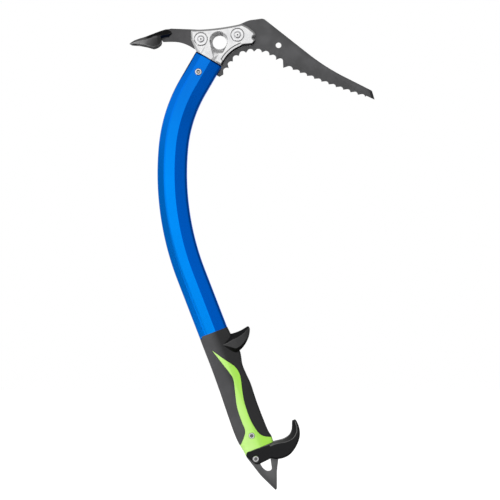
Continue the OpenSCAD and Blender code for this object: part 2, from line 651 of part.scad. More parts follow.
function lug_outline() =
    let (low = -grip_len)
    rounded([[back + 1.3, low, rest_corner_r], [back + 8, low - 16.9, 5.5], [front - 7, low - 15.3, 0],
        [front - 2, low - 15, 0], [front - 2, low, 0]]);
module lower_rest() {
    color("black") at_grip() difference() {
        union() {
            bevelled_plate(lug_outline(), rest_t, 1);
            loft([for (s = hook_stations) hook_ring(s)]);
        }
        plate(spike_t + 2 * slot_gap) translate([front + 0.2 + fit_gap - 2 * reach, -grip_len - reach])
            square([2 * reach, 2 * reach]);
        screw_seats(rest_screw_at, rest_t / 2);
    }
}

// Screw from the photographed side and the sleeve nut that takes it from the other
module sleeved_screw(place, half) {
    seat = half - screw_seat;
    color("gainsboro") difference() {
        union() {
            across(place, screw_r, -seat, sleeve_len / 2);
            across(place, screw_head_r, -seat - screw_head_h, -seat);
        }
        across(place, socket_r, -half - reach, -seat - screw_head_h * 0.4);
    }
}
module sleeve_nut(place, half) {
    seat = half - screw_seat;
    color("gainsboro") difference() {
        union() {
            across(place, sleeve_r, seat - sleeve_len, seat);
            across(place, screw_head_r, seat, seat + screw_head_h);
        }
        across(place, screw_r + 0.05, -half - reach, seat - 0.5);
        across(place, socket_r, seat + screw_head_h * 0.4, half + reach);
    }
}
module grip_screw() { at_grip() sleeved_screw(grip_screw_at, collar_half); }
module grip_screw_nut() { at_grip() sleeve_nut(grip_screw_at, collar_half); }
module rest_screw() { at_grip() sleeved_screw(rest_screw_at, rest_t / 2); }
module rest_screw_nut() { at_grip() sleeve_nut(rest_screw_at, rest_t / 2); }

shaft();
head();
head_rivet();
pick();
pick_bolt();
pick_bolt_washer();
pick_nut();
adze();
adze_bolt();
adze_bolt_washer();
adze_nut();
grip_rubber();
grip_inlay();
trigger();
spike_plug();
spike();
lower_rest();
grip_screw();
grip_screw_nut();
rest_screw();
rest_screw_nut();
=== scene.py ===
# %% [markdown]
# # An ice climbing tool
# The real tool is a bent aluminium tube with a forged head on top, a toothed pick and a scoop adze bolted
# into that head, and a moulded grip with two finger rests and a spike at its foot. The solids come in as
# a fixed frame, already at their real size and place. Each visible piece is then modelled again with
# finer curves and its own finish, exactly where its solid lies, and takes that solid's place.

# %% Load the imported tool
from math import asin, atan2, cos, degrees, exp, pi, radians, sin, tan

import bpy
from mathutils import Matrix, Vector


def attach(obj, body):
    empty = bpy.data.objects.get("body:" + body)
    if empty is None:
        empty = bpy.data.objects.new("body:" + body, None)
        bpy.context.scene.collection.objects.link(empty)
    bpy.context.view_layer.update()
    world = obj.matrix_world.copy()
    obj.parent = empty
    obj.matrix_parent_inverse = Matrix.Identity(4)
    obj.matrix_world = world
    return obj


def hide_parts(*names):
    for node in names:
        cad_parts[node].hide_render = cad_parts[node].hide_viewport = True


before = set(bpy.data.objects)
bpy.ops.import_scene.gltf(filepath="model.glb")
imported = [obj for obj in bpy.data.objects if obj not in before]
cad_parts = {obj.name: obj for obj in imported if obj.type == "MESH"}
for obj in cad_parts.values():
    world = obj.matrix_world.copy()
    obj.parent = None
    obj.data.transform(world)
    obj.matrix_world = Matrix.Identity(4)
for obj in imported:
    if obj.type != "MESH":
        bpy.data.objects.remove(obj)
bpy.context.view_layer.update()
bpy.ops.object.select_all(action="DESELECT")
print("nodes in the frame:", len(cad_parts))

# %% [markdown]
# ## Outlines and frames
# Most pieces start as an outline drawn in millimetres. Curve objects could round its corners, but a small
# function keeps the number of points under control, and a skin over several outlines needs the same
# number in each. The tool leans and bends, so an outline is drawn flat and is then put across a tilted
# frame.

# %% Rounded outlines
MM = 0.001


def rounded(corners, steps=8, between=0):
    """Outline with corners (x, y, radius), arcs of so many steps and extra points along each side."""
    points = []
    for i, (x, y, radius) in enumerate(corners):
        here = Vector((x, y))
        if radius == 0:
            points.append([here])
            continue
        a = Vector(corners[i - 1][:2]) - here
        b = Vector(corners[(i + 1) % len(corners)][:2]) - here
        room = 0.49 * min(a.length, b.length)
        a.normalize()
        b.normalize()
        half = a.angle(b) / 2
        side = min(radius / tan(half), room)
        centre = here + (a + b).normalized() * side / cos(half)
        start = here + a * side - centre
        end = here + b * side - centre
        first = atan2(start.y, start.x)
        turn = (atan2(end.y, end.x) - first + pi) % (2 * pi) - pi
        angles = [first + turn * k / steps for k in range(steps + 1)]
        points.append([centre + start.length * Vector((cos(t), sin(t))) for t in angles])
    outline = []
    for here, after in zip(points, points[1:] + points[:1]):
        outline += here
        outline += [here[-1].lerp(after[0], k / (between + 1)) for k in range(1, between + 1)]
    return outline


print("points on a rounded triangle:", len(rounded([(0, 0, 1), (9, 0, 1), (0, 9, 1)])))


# %% Frames
def tilted(origin, lean):
    """Frame at (x, z) whose own up leans by so many degrees to +X: turns (u, y, v) into (x, y, z)."""
    c, s = cos(radians(lean)), sin(radians(lean))
    return lambda u, y, v: (origin[0] + u * c + v * s, y, origin[1] - u * s + v * c)


def upright(x, y, z):
    """The tool's own frame, for outlines that are drawn in it directly."""
    return (x, y, z)


def ring_at(place, section, v=0):
    """Ring of a skin: a section (u, y) put across a frame at the height v."""
    return [place(p.x, p.y, v) for p in section]


step_up = tilted((0, 0), 30)(0, 0, 1)
print("one step up a frame that leans by 30 degrees:", [round(part, 3) for part in step_up])

# %% [markdown]
# ## Skins and cuts
# By hand, a tube or plate would start as a grid that is rolled up and has its points pulled onto each
# outline. The same is done here: a grid is added with one row of points per outline, its seam is merged
# and its ends are filled. Holes, slots and pockets are then cut with Boolean modifiers that are applied
# at once, as a machinist would cut them into the blank.

# %% Skins
SEAM = 0.001


def skin(name, rings, closed=True):
    """Roll a grid into a tube through rings of equally many points, in millimetres."""
    around = len(rings[0])
    bpy.ops.mesh.primitive_grid_add(x_subdivisions=around, y_subdivisions=len(rings) - 1, size=1)
    piece = bpy.context.object
    piece.name = name
    places = [point for ring in rings for point in list(ring) + list(ring[:1])]
    for vertex, place in zip(piece.data.vertices, places):
        vertex.co = Vector(place) * MM
    bpy.ops.object.mode_set(mode="EDIT")
    bpy.ops.mesh.select_all(action="SELECT")
    bpy.ops.mesh.remove_doubles(threshold=SEAM * MM)
    if closed:
        bpy.ops.mesh.fill_holes(sides=0)
    bpy.ops.mesh.normals_make_consistent(inside=False)
    bpy.ops.object.mode_set(mode="OBJECT")
    bpy.ops.object.select_all(action="DESELECT")
    return piece


def turned(name, profile, centre, sides=48, place=upright):
    """Round piece across the tool, from a profile of (radius, y) points, as on a lathe."""
    angles = [2 * pi * k / sides for k in range(sides)]
    return skin(name, [[place(centre[0] + r * cos(t), y, centre[1] + r * sin(t)) for t in angles]
                       for r, y in profile])


print("a skin merges its seam within", SEAM, "mm")

# %% Modifiers and cuts
REACH, CLEARANCE = 60, 0.15


def apply(piece, kind, **settings):
    """Add a modifier with its settings and apply it."""
    modifier = piece.modifiers.new(kind.lower(), kind)
    for key, value in settings.items():
        setattr(modifier, key, value)
    bpy.context.view_layer.objects.active = piece
    bpy.ops.object.modifier_apply(modifier=modifier.name)


def combine(piece, other, operation):
    """Boolean with another mesh, which is used up."""
    apply(piece, "BOOLEAN", operation=operation, solver="MANIFOLD", object=other)
    bpy.data.objects.remove(other)


def cut(piece, cutter):
    """Take a cutter's shape out of a piece."""
    combine(piece, cutter, "DIFFERENCE")


def drill(radius):
    """Profile of a plain drill that goes right through the tool."""
    return [(0, -REACH), (radius, -REACH), (radius, REACH), (0, REACH)]


def both_sides(profile):
    """Profile of (radius, y) points, with its mirror image at the tool's middle plane."""
    return profile + [(r, -y) for r, y in reversed(profile)]


print("cutters reach", REACH, "mm to each side, and holes are", CLEARANCE, "mm wider all round")

# %% [markdown]
# ## Finishes
# Three effects come back in the finishes: a fine grain, which is what blasting, moulding or casting
# leaves on a surface, cloudy patches, which are the uneven wear and handling of a tool, and a slow change
# of colour along a piece, which is painted light and shade: a piece goes lighter or darker towards one end
# as if it lay in more or less light. Each is one node group with its own inputs, so every finish sets its
# own size and strength. All of them read Object coordinates, because the pieces keep their place in their
# mesh and a pattern then stays at its real scale.


# %% Node group for the fine grain
def new_group(name, inputs, output):
    """Empty group with number inputs and one output, and its two end nodes."""
    group = bpy.data.node_groups.new(name, "ShaderNodeTree")
    for socket, value in inputs.items():
        made = group.interface.new_socket(socket, in_out="INPUT", socket_type="NodeSocketFloat")
        made.default_value = value
    group.interface.new_socket(output, in_out="OUTPUT", socket_type="NodeSocketFloat")
    return group, group.nodes.new("NodeGroupInput"), group.nodes.new("NodeGroupOutput")


def noise_in(group, source, detail):
    """Noise on Object coordinates, its scale taken from a socket of the group."""
    coords = group.nodes.new("ShaderNodeTexCoord")
    noise = group.nodes.new("ShaderNodeTexNoise")
    noise.inputs["Detail"].default_value = detail
    group.links.new(coords.outputs["Object"], noise.inputs["Vector"])
    group.links.new(source.outputs["Scale"], noise.inputs["Scale"])
    return noise.outputs["Fac"]


grain_group, source, sink = new_group("fine_grain", {"Scale": 1500.0}, "Height")
grain_group.links.new(noise_in(grain_group, source, 3.0), sink.inputs["Height"])
print("node group:", grain_group.name)


# %% Node group for the worn patches
def ramp_in(group, source, value, sink):
    """Soft step of a value between two sockets of the group, which goes out as its mask."""
    ramp = group.nodes.new("ShaderNodeMapRange")
    ramp.interpolation_type = "SMOOTHSTEP"
    group.links.new(value, ramp.inputs["Value"])
    group.links.new(source.outputs["From"], ramp.inputs["From Min"])
    group.links.new(source.outputs["To"], ramp.inputs["From Max"])
    group.links.new(ramp.outputs["Result"], sink.inputs["Mask"])


patch_group, source, sink = new_group("worn_patches", {"Scale": 40.0, "From": 0.4, "To": 0.6}, "Mask")
ramp_in(patch_group, source, noise_in(patch_group, source, 5.0), sink)
print("node group:", patch_group.name)

# %% Node group for the painted change of light and shade along a piece
light_change_group, source, sink = new_group("painted_light_change", {"X": 0.0, "Z": 1.0, "From": 0.0, "To": 1.0}, "Mask")
coords = light_change_group.nodes.new("ShaderNodeTexCoord")
way = light_change_group.nodes.new("ShaderNodeCombineXYZ")
light_change_group.links.new(source.outputs["X"], way.inputs["X"])
light_change_group.links.new(source.outputs["Z"], way.inputs["Z"])
along = light_change_group.nodes.new("ShaderNodeVectorMath")
along.operation = "DOT_PRODUCT"
light_change_group.links.new(coords.outputs["Object"], along.inputs[0])
light_change_group.links.new(way.outputs["Vector"], along.inputs[1])
ramp_in(light_change_group, source, along.outputs["Value"], sink)
print("node group:", light_change_group.name)


# %% Groups and blends in a material
def add_group(nodes, group, **values):
    """Place a group in a material with its own values."""
    node = nodes.new("ShaderNodeGroup")
    node.node_tree = group
    for socket, value in values.items():
        node.inputs[socket].default_value = value
    return node


def blend(nodes, links, mask, low, high):
    """Mix of two colours by a mask. The low colour can also be a socket."""
    mix = nodes.new("ShaderNodeMix")
    mix.data_type = "RGBA"
    links.new(mask, mix.inputs["Factor"])
    if isinstance(low, tuple):
        mix.inputs["A"].default_value = (*low, 1)
    else:
        links.new(low, mix.inputs["A"])
    mix.inputs["B"].default_value = (*high, 1)
    return mix.outputs["Result"]


print("a blend takes a mask and two colours")

# %% One finish
GRAIN_DEPTH = 0.1


def finish(name, colour, worn_colour, metallic, rough, worn_rough, grain, bump, patch_scale,
           specular=0.5, light_change=None, light_change_colour=None, marks=()):
    """Principled finish whose colour and roughness shift in cloudy patches over a fine grain.

    With a change of painted light and shade, a direction (x, z) and two places along it in mm, the colour
    runs over to the far colour. Marks are pairs of a point attribute and the colour that it brings in, such
    as painted shade in a corner or a painted highlight on an edge."""
    material = bpy.data.materials.new(name)
    material.use_nodes = True
    nodes, links = material.node_tree.nodes, material.node_tree.links
    shader = nodes["Principled BSDF"]
    shader.inputs["Metallic"].default_value = metallic
    shader.inputs["Specular IOR Level"].default_value = specular
    patches = add_group(nodes, patch_group, Scale=patch_scale)
    result = blend(nodes, links, patches.outputs["Mask"], colour, worn_colour)
    if light_change:
        x, z, start, end = light_change
        # Painted light and shade: the colour runs over to the far colour along one direction.
        slope = add_group(nodes, light_change_group, X=x, Z=z, From=start * MM, To=end * MM)
        result = blend(nodes, links, slope.outputs["Mask"], result, light_change_colour)
    for attribute, mark_colour in marks:
        painted = nodes.new("ShaderNodeAttribute")
        painted.attribute_name = attribute
        result = blend(nodes, links, painted.outputs["Fac"], result, mark_colour)
    links.new(result, shader.inputs["Base Color"])
    roughness = nodes.new("ShaderNodeMapRange")
    roughness.inputs["To Min"].default_value = rough
    roughness.inputs["To Max"].default_value = worn_rough
    links.new(patches.outputs["Mask"], roughness.inputs["Value"])
    links.new(roughness.outputs["Result"], shader.inputs["Roughness"])
    grains = add_group(nodes, grain_group, Scale=grain)
    relief = nodes.new("ShaderNodeBump")
    relief.inputs["Strength"].default_value = bump
    relief.inputs["Distance"].default_value = GRAIN_DEPTH * MM
    links.new(grains.outputs["Height"], relief.inputs["Height"])
    links.new(relief.outputs["Normal"], shader.inputs["Normal"])
    return material


print("depth of the grain:", GRAIN_DEPTH, "mm")

# %% Finishes of the metals
# Painted light and shade on the shaft: lighter towards its lower end, a deeper blue on its slanting facets
# and a dark line at its top rim.
shaft_blue = finish(
    "blue_anodised", (0.004, 0.185, 0.76), (0.004, 0.195, 0.79), metallic=1.0, rough=0.18, worn_rough=0.22,
    grain=2500, bump=0.08, patch_scale=30, light_change=(0, -1, 25, 160), light_change_colour=(0.001, 0.285, 1.0),
    marks=[("painted_facet_shade", (0.0, 0.17, 0.9)), ("painted_shade", (0, 0.012, 0.06))])
# Painted shade darkens the head's hole flare and a line along its lower front edge.
head_silver = finish(
    "blasted_silver", (0.93, 0.93, 0.93), (0.87, 0.87, 0.88), metallic=0.95, rough=0.28, worn_rough=0.34,
    grain=2200, bump=0.1, patch_scale=90, marks=[("painted_shade", (0.015, 0.015, 0.016))])
# Painted shade darkens the sockets and hollows of the fasteners.
zinc = finish(
    "bright_zinc", (0.94, 0.94, 0.95), (0.9, 0.9, 0.91), metallic=1.0, rough=0.24, worn_rough=0.3,
    grain=2500, bump=0.1, patch_scale=120, marks=[("painted_shade", (0.06, 0.06, 0.058))])
STEEL = dict(metallic=1.0, rough=0.36, worn_rough=0.42, grain=1800, bump=0.2, patch_scale=50)
blade_steel = finish("dark_steel", (0.133, 0.133, 0.137), (0.12, 0.12, 0.123), **STEEL)
# Painted light and shade on the adze: lighter towards the blade's tip, a painted highlight on the faces that
# turn up at its tip, and painted shade on the rear of its roof, under it and behind the wing.
adze_steel = finish("ground_steel", (0.115, 0.113, 0.117), (0.103, 0.102, 0.105), **STEEL,
                    light_change=(-1, 0, 60, 96), light_change_colour=(0.34, 0.34, 0.342),
                    marks=[("painted_shade", (0.03, 0.03, 0.031)), ("painted_tip_light", (0.78, 0.78, 0.78))])
spike_steel = finish("spike_steel", (0.2, 0.2, 0.203), (0.185, 0.185, 0.188), **STEEL)
metals = (shaft_blue, head_silver, zinc, blade_steel, adze_steel, spike_steel)
print("metals:", ", ".join(metal.name for metal in metals))

# %% Finishes of the rubber and the mouldings
GRIP_FORWARD = (0.933, 0.36)
# Grey of the painted highlights on the black mouldings.
PAINTED_HIGHLIGHT = (0.17, 0.168, 0.165)
MOULDED = dict(metallic=0.0, rough=0.36, worn_rough=0.44, grain=1400, bump=0.2, patch_scale=60)
# Painted shade: both rubbers go darker and deeper towards the front of the grip.
rubber_black = finish(
    "black_rubber", (0.072, 0.072, 0.076), (0.064, 0.064, 0.067), metallic=0.0, rough=0.62, worn_rough=0.7,
    grain=1600, bump=0.4, patch_scale=40, specular=0.4,
    light_change=(*GRIP_FORWARD, -124, -112), light_change_colour=(0.022, 0.022, 0.023))
rubber_lime = finish(
    "lime_rubber", (0.52, 0.86, 0.22), (0.54, 0.87, 0.245), metallic=0.0, rough=0.55, worn_rough=0.62,
    grain=1600, bump=0.3, patch_scale=40, specular=0.4,
    light_change=(*GRIP_FORWARD, -124, -108), light_change_colour=(0.405, 0.83, 0.082))
# Painted shade darkens the trigger's roof and keel, and a painted highlight lightens its crease and the
# hook's inner bevel.
trigger_black = finish("trigger_moulding", (0.03, 0.03, 0.031), (0.034, 0.034, 0.035), **MOULDED,
                       specular=0.4, marks=[("painted_shade", (0.004, 0.004, 0.004)), ("painted_highlight", PAINTED_HIGHLIGHT)])
rest_black = finish("rest_moulding", (0.007, 0.007, 0.008), (0.009, 0.009, 0.01), **MOULDED, specular=0.22,
                    marks=[("painted_highlight", PAINTED_HIGHLIGHT)])
plug_grey = finish(
    "grey_moulding", (0.25, 0.25, 0.26), (0.22, 0.22, 0.23), metallic=0.0, rough=0.5, worn_rough=0.6,
    grain=1400, bump=0.25, patch_scale=60)
mouldings = (rubber_black, rubber_lime, trigger_black, rest_black, plug_grey)
print("rubbers and mouldings:", ", ".join(moulding.name for moulding in mouldings))

# %% [markdown]
# ## Marks and the hand-over
# The marks are painted light and shade: painted shade in corners, in hollows and on faces that turn from
# the light, and painted highlights on edges. Such marks could be painted on a texture by hand. Here a rule
# on each point's place and normal fills a point attribute, which the finish reads as a mask, so the marks
# follow the edges exactly. Then every piece is cleaned of the slivers that the cuts left, shaded, given its
# finish and handed over in place of its solid.


# %% Marks
def mark(piece, attribute, rule):
    """Paint a point attribute from 0 to 1, by a rule on each point's place in mm and its normal."""
    cells = piece.data.attributes.new(attribute, "FLOAT", "POINT").data
    for vertex, cell in zip(piece.data.vertices, cells):
        cell.value = max(0, min(1, rule(vertex.co / MM, vertex.normal)))


def ramp(value, start, end):
    """Share of the way from start to end, for a mark that fades in between the two."""
    return (value - start) / (end - start)


def peak(value, middle, width, top):
    """Strength of a mark that is strongest at a middle value and fades to both sides."""
    return top - abs(value - middle) / width


print("a mark is a number from 0 to 1 at every point, here halfway:", ramp(5, 0, 10))

# %% Cleaning and hand-over
SLIVER = 0.006


def clean():
    """Merge slivers in the active piece, and split its faces of many sides into even triangles."""
    bpy.ops.object.mode_set(mode="EDIT")
    bpy.ops.mesh.select_all(action="SELECT")
    bpy.ops.mesh.remove_doubles(threshold=SLIVER * MM)
    bpy.ops.mesh.dissolve_degenerate(threshold=SLIVER * MM)
    bpy.ops.mesh.select_face_by_sides(number=4, type="GREATER", extend=False)
    bpy.ops.mesh.quads_convert_to_tris(ngon_method="BEAUTY")
    bpy.ops.object.mode_set(mode="OBJECT")


def hand_over(piece, node, material, angle=35, forged=False):
    """Clean a piece unless it is forged, shade it, finish it and let it take its CAD node's place."""
    bpy.ops.object.select_all(action="DESELECT")
    piece.select_set(True)
    bpy.context.view_layer.objects.active = piece
    if not forged:
        clean()
    bpy.ops.object.shade_smooth_by_angle(angle=radians(angle))
    bpy.ops.object.select_all(action="DESELECT")
    piece.data.materials.clear()
    piece.data.materials.append(material)
    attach(piece, "root")
    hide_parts(node)
    piece.data.calc_loop_triangles()
    print(piece.name, "takes the place of", node, "with", len(piece.data.loop_triangles), "triangles")


print("slivers under", SLIVER, "mm are merged")

# %% [markdown]
# ## The shaft
# On the real tool this is an aluminium tube, pressed to a section with a narrow back between two slanting
# facets, a ridge along each side and a narrower front, and bent twice. It could be a curve with a bevel
# object, but a sweep of the section along two straights and two arcs gives the same tube with control
# over every ring. A Solidify modifier gives it its wall.

# %% Section of the shaft
SHAFT_W, SHAFT_T, SHAFT_FRONT_T = 31.7, 21, 13
SHAFT_RIDGE, SHAFT_BACK_R, SHAFT_WALL = 18.4, 10, 1.6
BACK_FACET, BACK_T = 7.8, 13
FRONT, BACK = SHAFT_W / 2, -SHAFT_W / 2


def shaft_section(drawn=0, back=0, front=0, side=0, faceted=True):
    """Section (u, y) of the shaft, drawn in all round or let out at its back, front and sides.

    Its back has a slanting facet at each side, or is plainly round as the grip over it is."""
    b, f, half = BACK + drawn - back, FRONT - drawn + front, SHAFT_T / 2 - drawn + side
    half_front, ridge = SHAFT_FRONT_T / 2 - drawn / 2 + side / 2, BACK + SHAFT_RIDGE
    low = [(b, -BACK_T / 2 + drawn / 2, 3.5), (b + BACK_FACET, -half, 8)]
    if not faceted:
        low = [(b, -half, SHAFT_BACK_R - drawn)]
    low += [(ridge, -half, 2.5), (f, -half_front, 3.5)]
    return rounded(low + [(u, -y, r) for u, y, r in reversed(low)], steps=8, between=6)


print("points round the shaft:", len(shaft_section()))

# %% Axis of the shaft
TOP_LEAN, NECK_DROP = 30.3, 21.4
STRETCHES = [(34, 0), (158 * radians(24.9), 158), (301 * radians(26.5), 301), (66, 0)]
SHAFT_LEN = sum(length for length, bend in STRETCHES)


def along_shaft(s):
    """Frame of the shaft's axis, s mm below its top."""
    lean = TOP_LEAN
    x, z = -NECK_DROP * sin(radians(lean)), -NECK_DROP * cos(radians(lean))
    for length, bend in STRETCHES:
        step = min(s, length)
        s -= step
        after = lean - degrees(step / bend) if bend else lean
        if bend:
            x += bend * (cos(radians(lean)) - cos(radians(after)))
            z += bend * (sin(radians(after)) - sin(radians(lean)))
        else:
            x, z = x - step * sin(radians(lean)), z - step * cos(radians(lean))
        lean = after
    return tilted((x, z), lean)


at_shaft_top, at_grip = along_shaft(0), along_shaft(SHAFT_LEN)
print("length of the shaft above the grip:", round(SHAFT_LEN, 1), "mm")

# %% Sweep the shaft
GRIP_LEN, GRIP_STEP, SWEEP_STEPS = 132.4, 1.8, 90
TOP_EDGE = [(0.9, 0), (0.3, 0.3), (0, 0.9), (0, 1.7)]
RIVET, RIVET_R, RIVET_HEAD_R = (BACK + 13.4, -18.1), 2.5, 3.9


def rivet_drill():
    """Cutter of the rivet's hole, through the shaft and the tang inside it."""
    return turned("rivet_hole", drill(RIVET_R + CLEARANCE), RIVET, sides=40, place=at_shaft_top)


rings = [ring_at(along_shaft(s), shaft_section(drawn)) for drawn, s in TOP_EDGE]
stops = [SHAFT_LEN * k / SWEEP_STEPS for k in range(1, SWEEP_STEPS + 1)]
rings += [ring_at(along_shaft(s), shaft_section()) for s in stops]
neck_in = [(GRIP_STEP * k / 4, -2 - k) for k in range(5)] + [(GRIP_STEP, -GRIP_LEN)]
rings += [ring_at(at_grip, shaft_section(drawn), v) for drawn, v in neck_in]
shaft = skin("shaft_tube", rings, closed=False)
apply(shaft, "SOLIDIFY", thickness=SHAFT_WALL * MM, offset=-1)
cut(shaft, rivet_drill())
print("rings along the shaft:", len(rings))

# %% Marks of the shaft
SHAFT_UP = Vector(at_shaft_top(0, 0, 1)) - Vector(at_shaft_top(0, 0, 0))
top_height = SHAFT_UP.dot(Vector(at_shaft_top(0, 0, 0)))
TOP_RIM, RIM_SHADE = 1, 0.85


def shaded_facets(p, n):
    """Painted shade: the facets that slant to the front, and a little those to the back, get a deeper colour.
    """
    return ramp(n.x, 0.1, 0.2) if n.x > 0 else min(0.4, ramp(-n.x, 0.1, 0.35))


mark(shaft, "painted_facet_shade", shaded_facets)
# Painted shade: a dark line along the top rim, where the head's neck meets the shaft.
mark(shaft, "painted_shade", lambda p, n: RIM_SHADE * (top_height - SHAFT_UP.dot(p) < TOP_RIM))
hand_over(shaft, "shaft", shaft_blue)

# %% [markdown]
# ## The head
# A hot forging in bright metal: two cheeks with slots for the blades, a flared hole for a carabiner and a
# neck that swells to the shaft. Sculpting would be one way. Here the blank, its grooves, hole, slots and
# pockets are cut as solids, and then one remesh melts them together so that every edge has a forging's
# softness.


# %% Curves and offsets
def spline(rows, steps=6):
    """Smooth curve through rows of numbers: points, or stations of a changing section."""
    rows = [Vector(row) for row in rows]
    last = len(rows) - 1
    curve = []
    for i in range(last):
        a, b, c, d = rows[max(i - 1, 0)], rows[i], rows[i + 1], rows[min(i + 2, last)]
        for k in range(steps):
            t = k / steps
            curve.append(0.5 * (2 * b + (c - a) * t + (2 * a - 5 * b + 4 * c - d) * t ** 2
                                + (3 * b - a - 3 * c + d) * t ** 3))
    return curve + [rows[last]]


def bow(a, b, sag, t):
    """Point on a shallow bow from a to b, which sinks to the right of the way by sag."""
    way = (b - a).normalized()
    return a.lerp(b, t) + Vector((way.y, -way.x)) * sag * 4 * t * (1 - t)


def inset(points, distance):
    """Outline moved inwards, for points that run anticlockwise."""
    moved = []
    for before, here, after in zip(points[-1:] + points[:-1], points, points[1:] + points[:1]):
        a, b = (here - before).normalized(), (after - here).normalized()
        na, nb = Vector((-a.y, a.x)), Vector((-b.y, b.x))
        moved.append(here + distance * (na + nb) / (1 + na.dot(nb)))
    return moved


def sharp(points):
    """Points of a curve as outline corners that aren't rounded."""
    return [(p[0], p[1], 0) for p in points]


print("points on a spline through three points:", len(spline([(0, 0), (1, 1), (2, 0)])))

# %% Plates
SLOT_GAP = 0.1


def prism(name, outline, low, high, place=upright):
    """Plain plate between two values of y, used mostly as a cutter."""
    return skin(name, [[place(p[0], y, p[1]) for p in outline] for y in (low, high)])


def slot_cutter(outline, thick, place=upright):
    """Cutter of a slot for a plate of some thickness, with a hair of space at each face."""
    return prism("slot", outline, -thick / 2 - SLOT_GAP, thick / 2 + SLOT_GAP, place)


def plate(name, outline, thick, bevel, place=upright, steps=3):
    """Plate in the tool's middle plane whose edges are rounded over by a small bevel."""
    turns = [radians(90 * k / steps) for k in range(steps + 1)]
    near = [(bevel * (1 - sin(t)), thick / 2 - bevel * (1 - cos(t))) for t in turns]
    levels = [(d, -y) for d, y in near] + [(d, y) for d, y in reversed(near)]
    return skin(name, [[place(p.x, y, p.y) for p in inset(outline, d)] for d, y in levels])


print("a plate lies", SLOT_GAP, "mm from each side of its slot")

# %% Outline of the head
HEAD_T, HEAD_BEVEL, NECK_LEN = 18, 2, 14
ADZE_BOLT, PICK_BOLT = Vector((-19.4, 2.3)), Vector((19.7, 6.8))
HOLE_R, HOLE_RIM_R = 7.6, 9.4
SLOT_END = HOLE_RIM_R + 3.1


def shaft_point(u, v):
    """A place in the shaft's top frame as (x, z)."""
    x, y, z = at_shaft_top(u, 0, v)
    return Vector((x, z))


lower_edge = spline([shaft_point(FRONT - 0.3, 3.6), (8.1, -17.4), (11.7, -13.4), (17.3, -9), (25.8, -4.7)])


def head_outline():
    """Side view of the head: neck, lower front edge, notched nose, top and rear."""
    rear_top = ADZE_BOLT + Vector((-10.8, 10.1))
    nose_top = PICK_BOLT + Vector((4.5, 12))
    nose = [(16.3, -10.7, 3), (20.1, -6, 2.4), (16.4, -2.8, 1), (20.1, 0.2, 2.2), (17.6, 3.6, 4),
            (11.4, 8.7, 8)]
    top = [bow(nose_top, rear_top, -1.6, k / 10) for k in range(1, 10)]
    return rounded(sharp([shaft_point(BACK, 0), shaft_point(FRONT, 0)]) + sharp(lower_edge)
                   + [(PICK_BOLT.x + x, PICK_BOLT.y + z, r) for x, z, r in nose]
                   + [(*nose_top, 6)] + sharp(top)
                   + [(*rear_top, 2), (rear_top.x, ADZE_BOLT.y, 4)])


print("points round the head:", len(head_outline()))


# %% Blank of the head
def neck_ring(v):
    """Section of the neck, which thins from the shaft's sides to the cheeks."""
    half = SHAFT_T / 2 + (HEAD_T / 2 - 0.2 - SHAFT_T / 2) * max(0, v - 2) / (NECK_LEN - 2)
    return [at_shaft_top(p.x, max(-half, min(half, p.y)), v) for p in shaft_section(front=-2.2)]


TANG_TOP, TANG_END = 3, -30
head = plate("forged_head", head_outline(), HEAD_T, HEAD_BEVEL, steps=1)
combine(head, skin("neck", [neck_ring(NECK_LEN * k / 7) for k in range(8)]), "UNION")
tang_section = shaft_section(SHAFT_WALL + 0.1)
combine(head, skin("tang", [ring_at(at_shaft_top, tang_section, v) for v in (TANG_TOP, TANG_END)]), "UNION")
print("faces of the blank:", len(head.data.polygons))


# %% Groove and bevel of the head
def scoop(side, wide=9.8, narrow=1.4):
    """Tapered hollow that runs from the carabiner hole down the neck and fades out above the shaft."""
    start, end = Vector((-0.4, 0)), Vector((-2.6, -25.5))
    across = Vector((end.y - start.y, start.x - end.x)).normalized()
    turns = [pi * j / 16 for j in range(17)]
    rings = []
    for t in [k / 24 for k in range(25)]:
        middle, half = start.lerp(end, t), wide + (narrow - wide) * t
        face = HEAD_T / 2 + 2.2 * t * t
        deep = min(6, 2.8 * exp((8.6 + middle.y) / 2.8))
        ring = [(abs(cos(a)) ** 0.5 * half * (1 if a < pi / 2 else -1), face - deep * sin(a) ** 0.6)
                for a in turns]
        ring += [(-half, face + 4), (half, face + 4)]
        rings.append([(middle.x + across.x * w, side * y, middle.y + across.y * w) for w, y in ring])
    return skin("scoop", rings)


def lower_bevel(side, width=4.1, step=0.7, fall=0.2, chamfer=1.5, beyond=3):
    """Strip along the lower front edge of a cheek, set off by a small step, with a chamfer at its outside."""
    lines = [inset(head_outline(), distance) for distance in (width, chamfer, -beyond)]
    face = HEAD_T / 2
    floor = face - step - fall
    return skin("lower_bevel", [[(a.x, side * (face - step), a.y), (a.x, side * (face + 3), a.y),
                                 (c.x, side * (face + 3), c.y), (c.x, side * (floor - chamfer - beyond), c.y),
                                 (b.x, side * floor, b.y)]
                                for a, b, c in list(zip(*lines))[4:len(lower_edge) + 1]])


for side in (-1, 1):
    cut(head, scoop(side))
    cut(head, lower_bevel(side))
print("faces with the groove and the bevel:", len(head.data.polygons))

# %% Hole of the head
THROAT_AT, RIM_AT, THROAT_HALF = Vector((0.7, -0.9)), Vector((-0.4, 0.9)), 2.5
FLARE = [(0, 13), (11.3, 13), (HOLE_RIM_R + 0.3, 9.2), (HOLE_RIM_R - 0.3, 8.2), (8.6, 6.4), (7.9, 4.2),
         (HOLE_R, THROAT_HALF)]


def hole_ring(r, y):
    """Ring of the hole, whose rims lie a little towards the head's top and rear."""
    middle = THROAT_AT.lerp(RIM_AT, max(0, abs(y) - THROAT_HALF) / (HEAD_T / 2 - THROAT_HALF))
    turns = [2 * pi * k / 64 for k in range(64)]
    return [(middle.x + r * cos(t), y, middle.y + r * sin(t)) for t in turns]


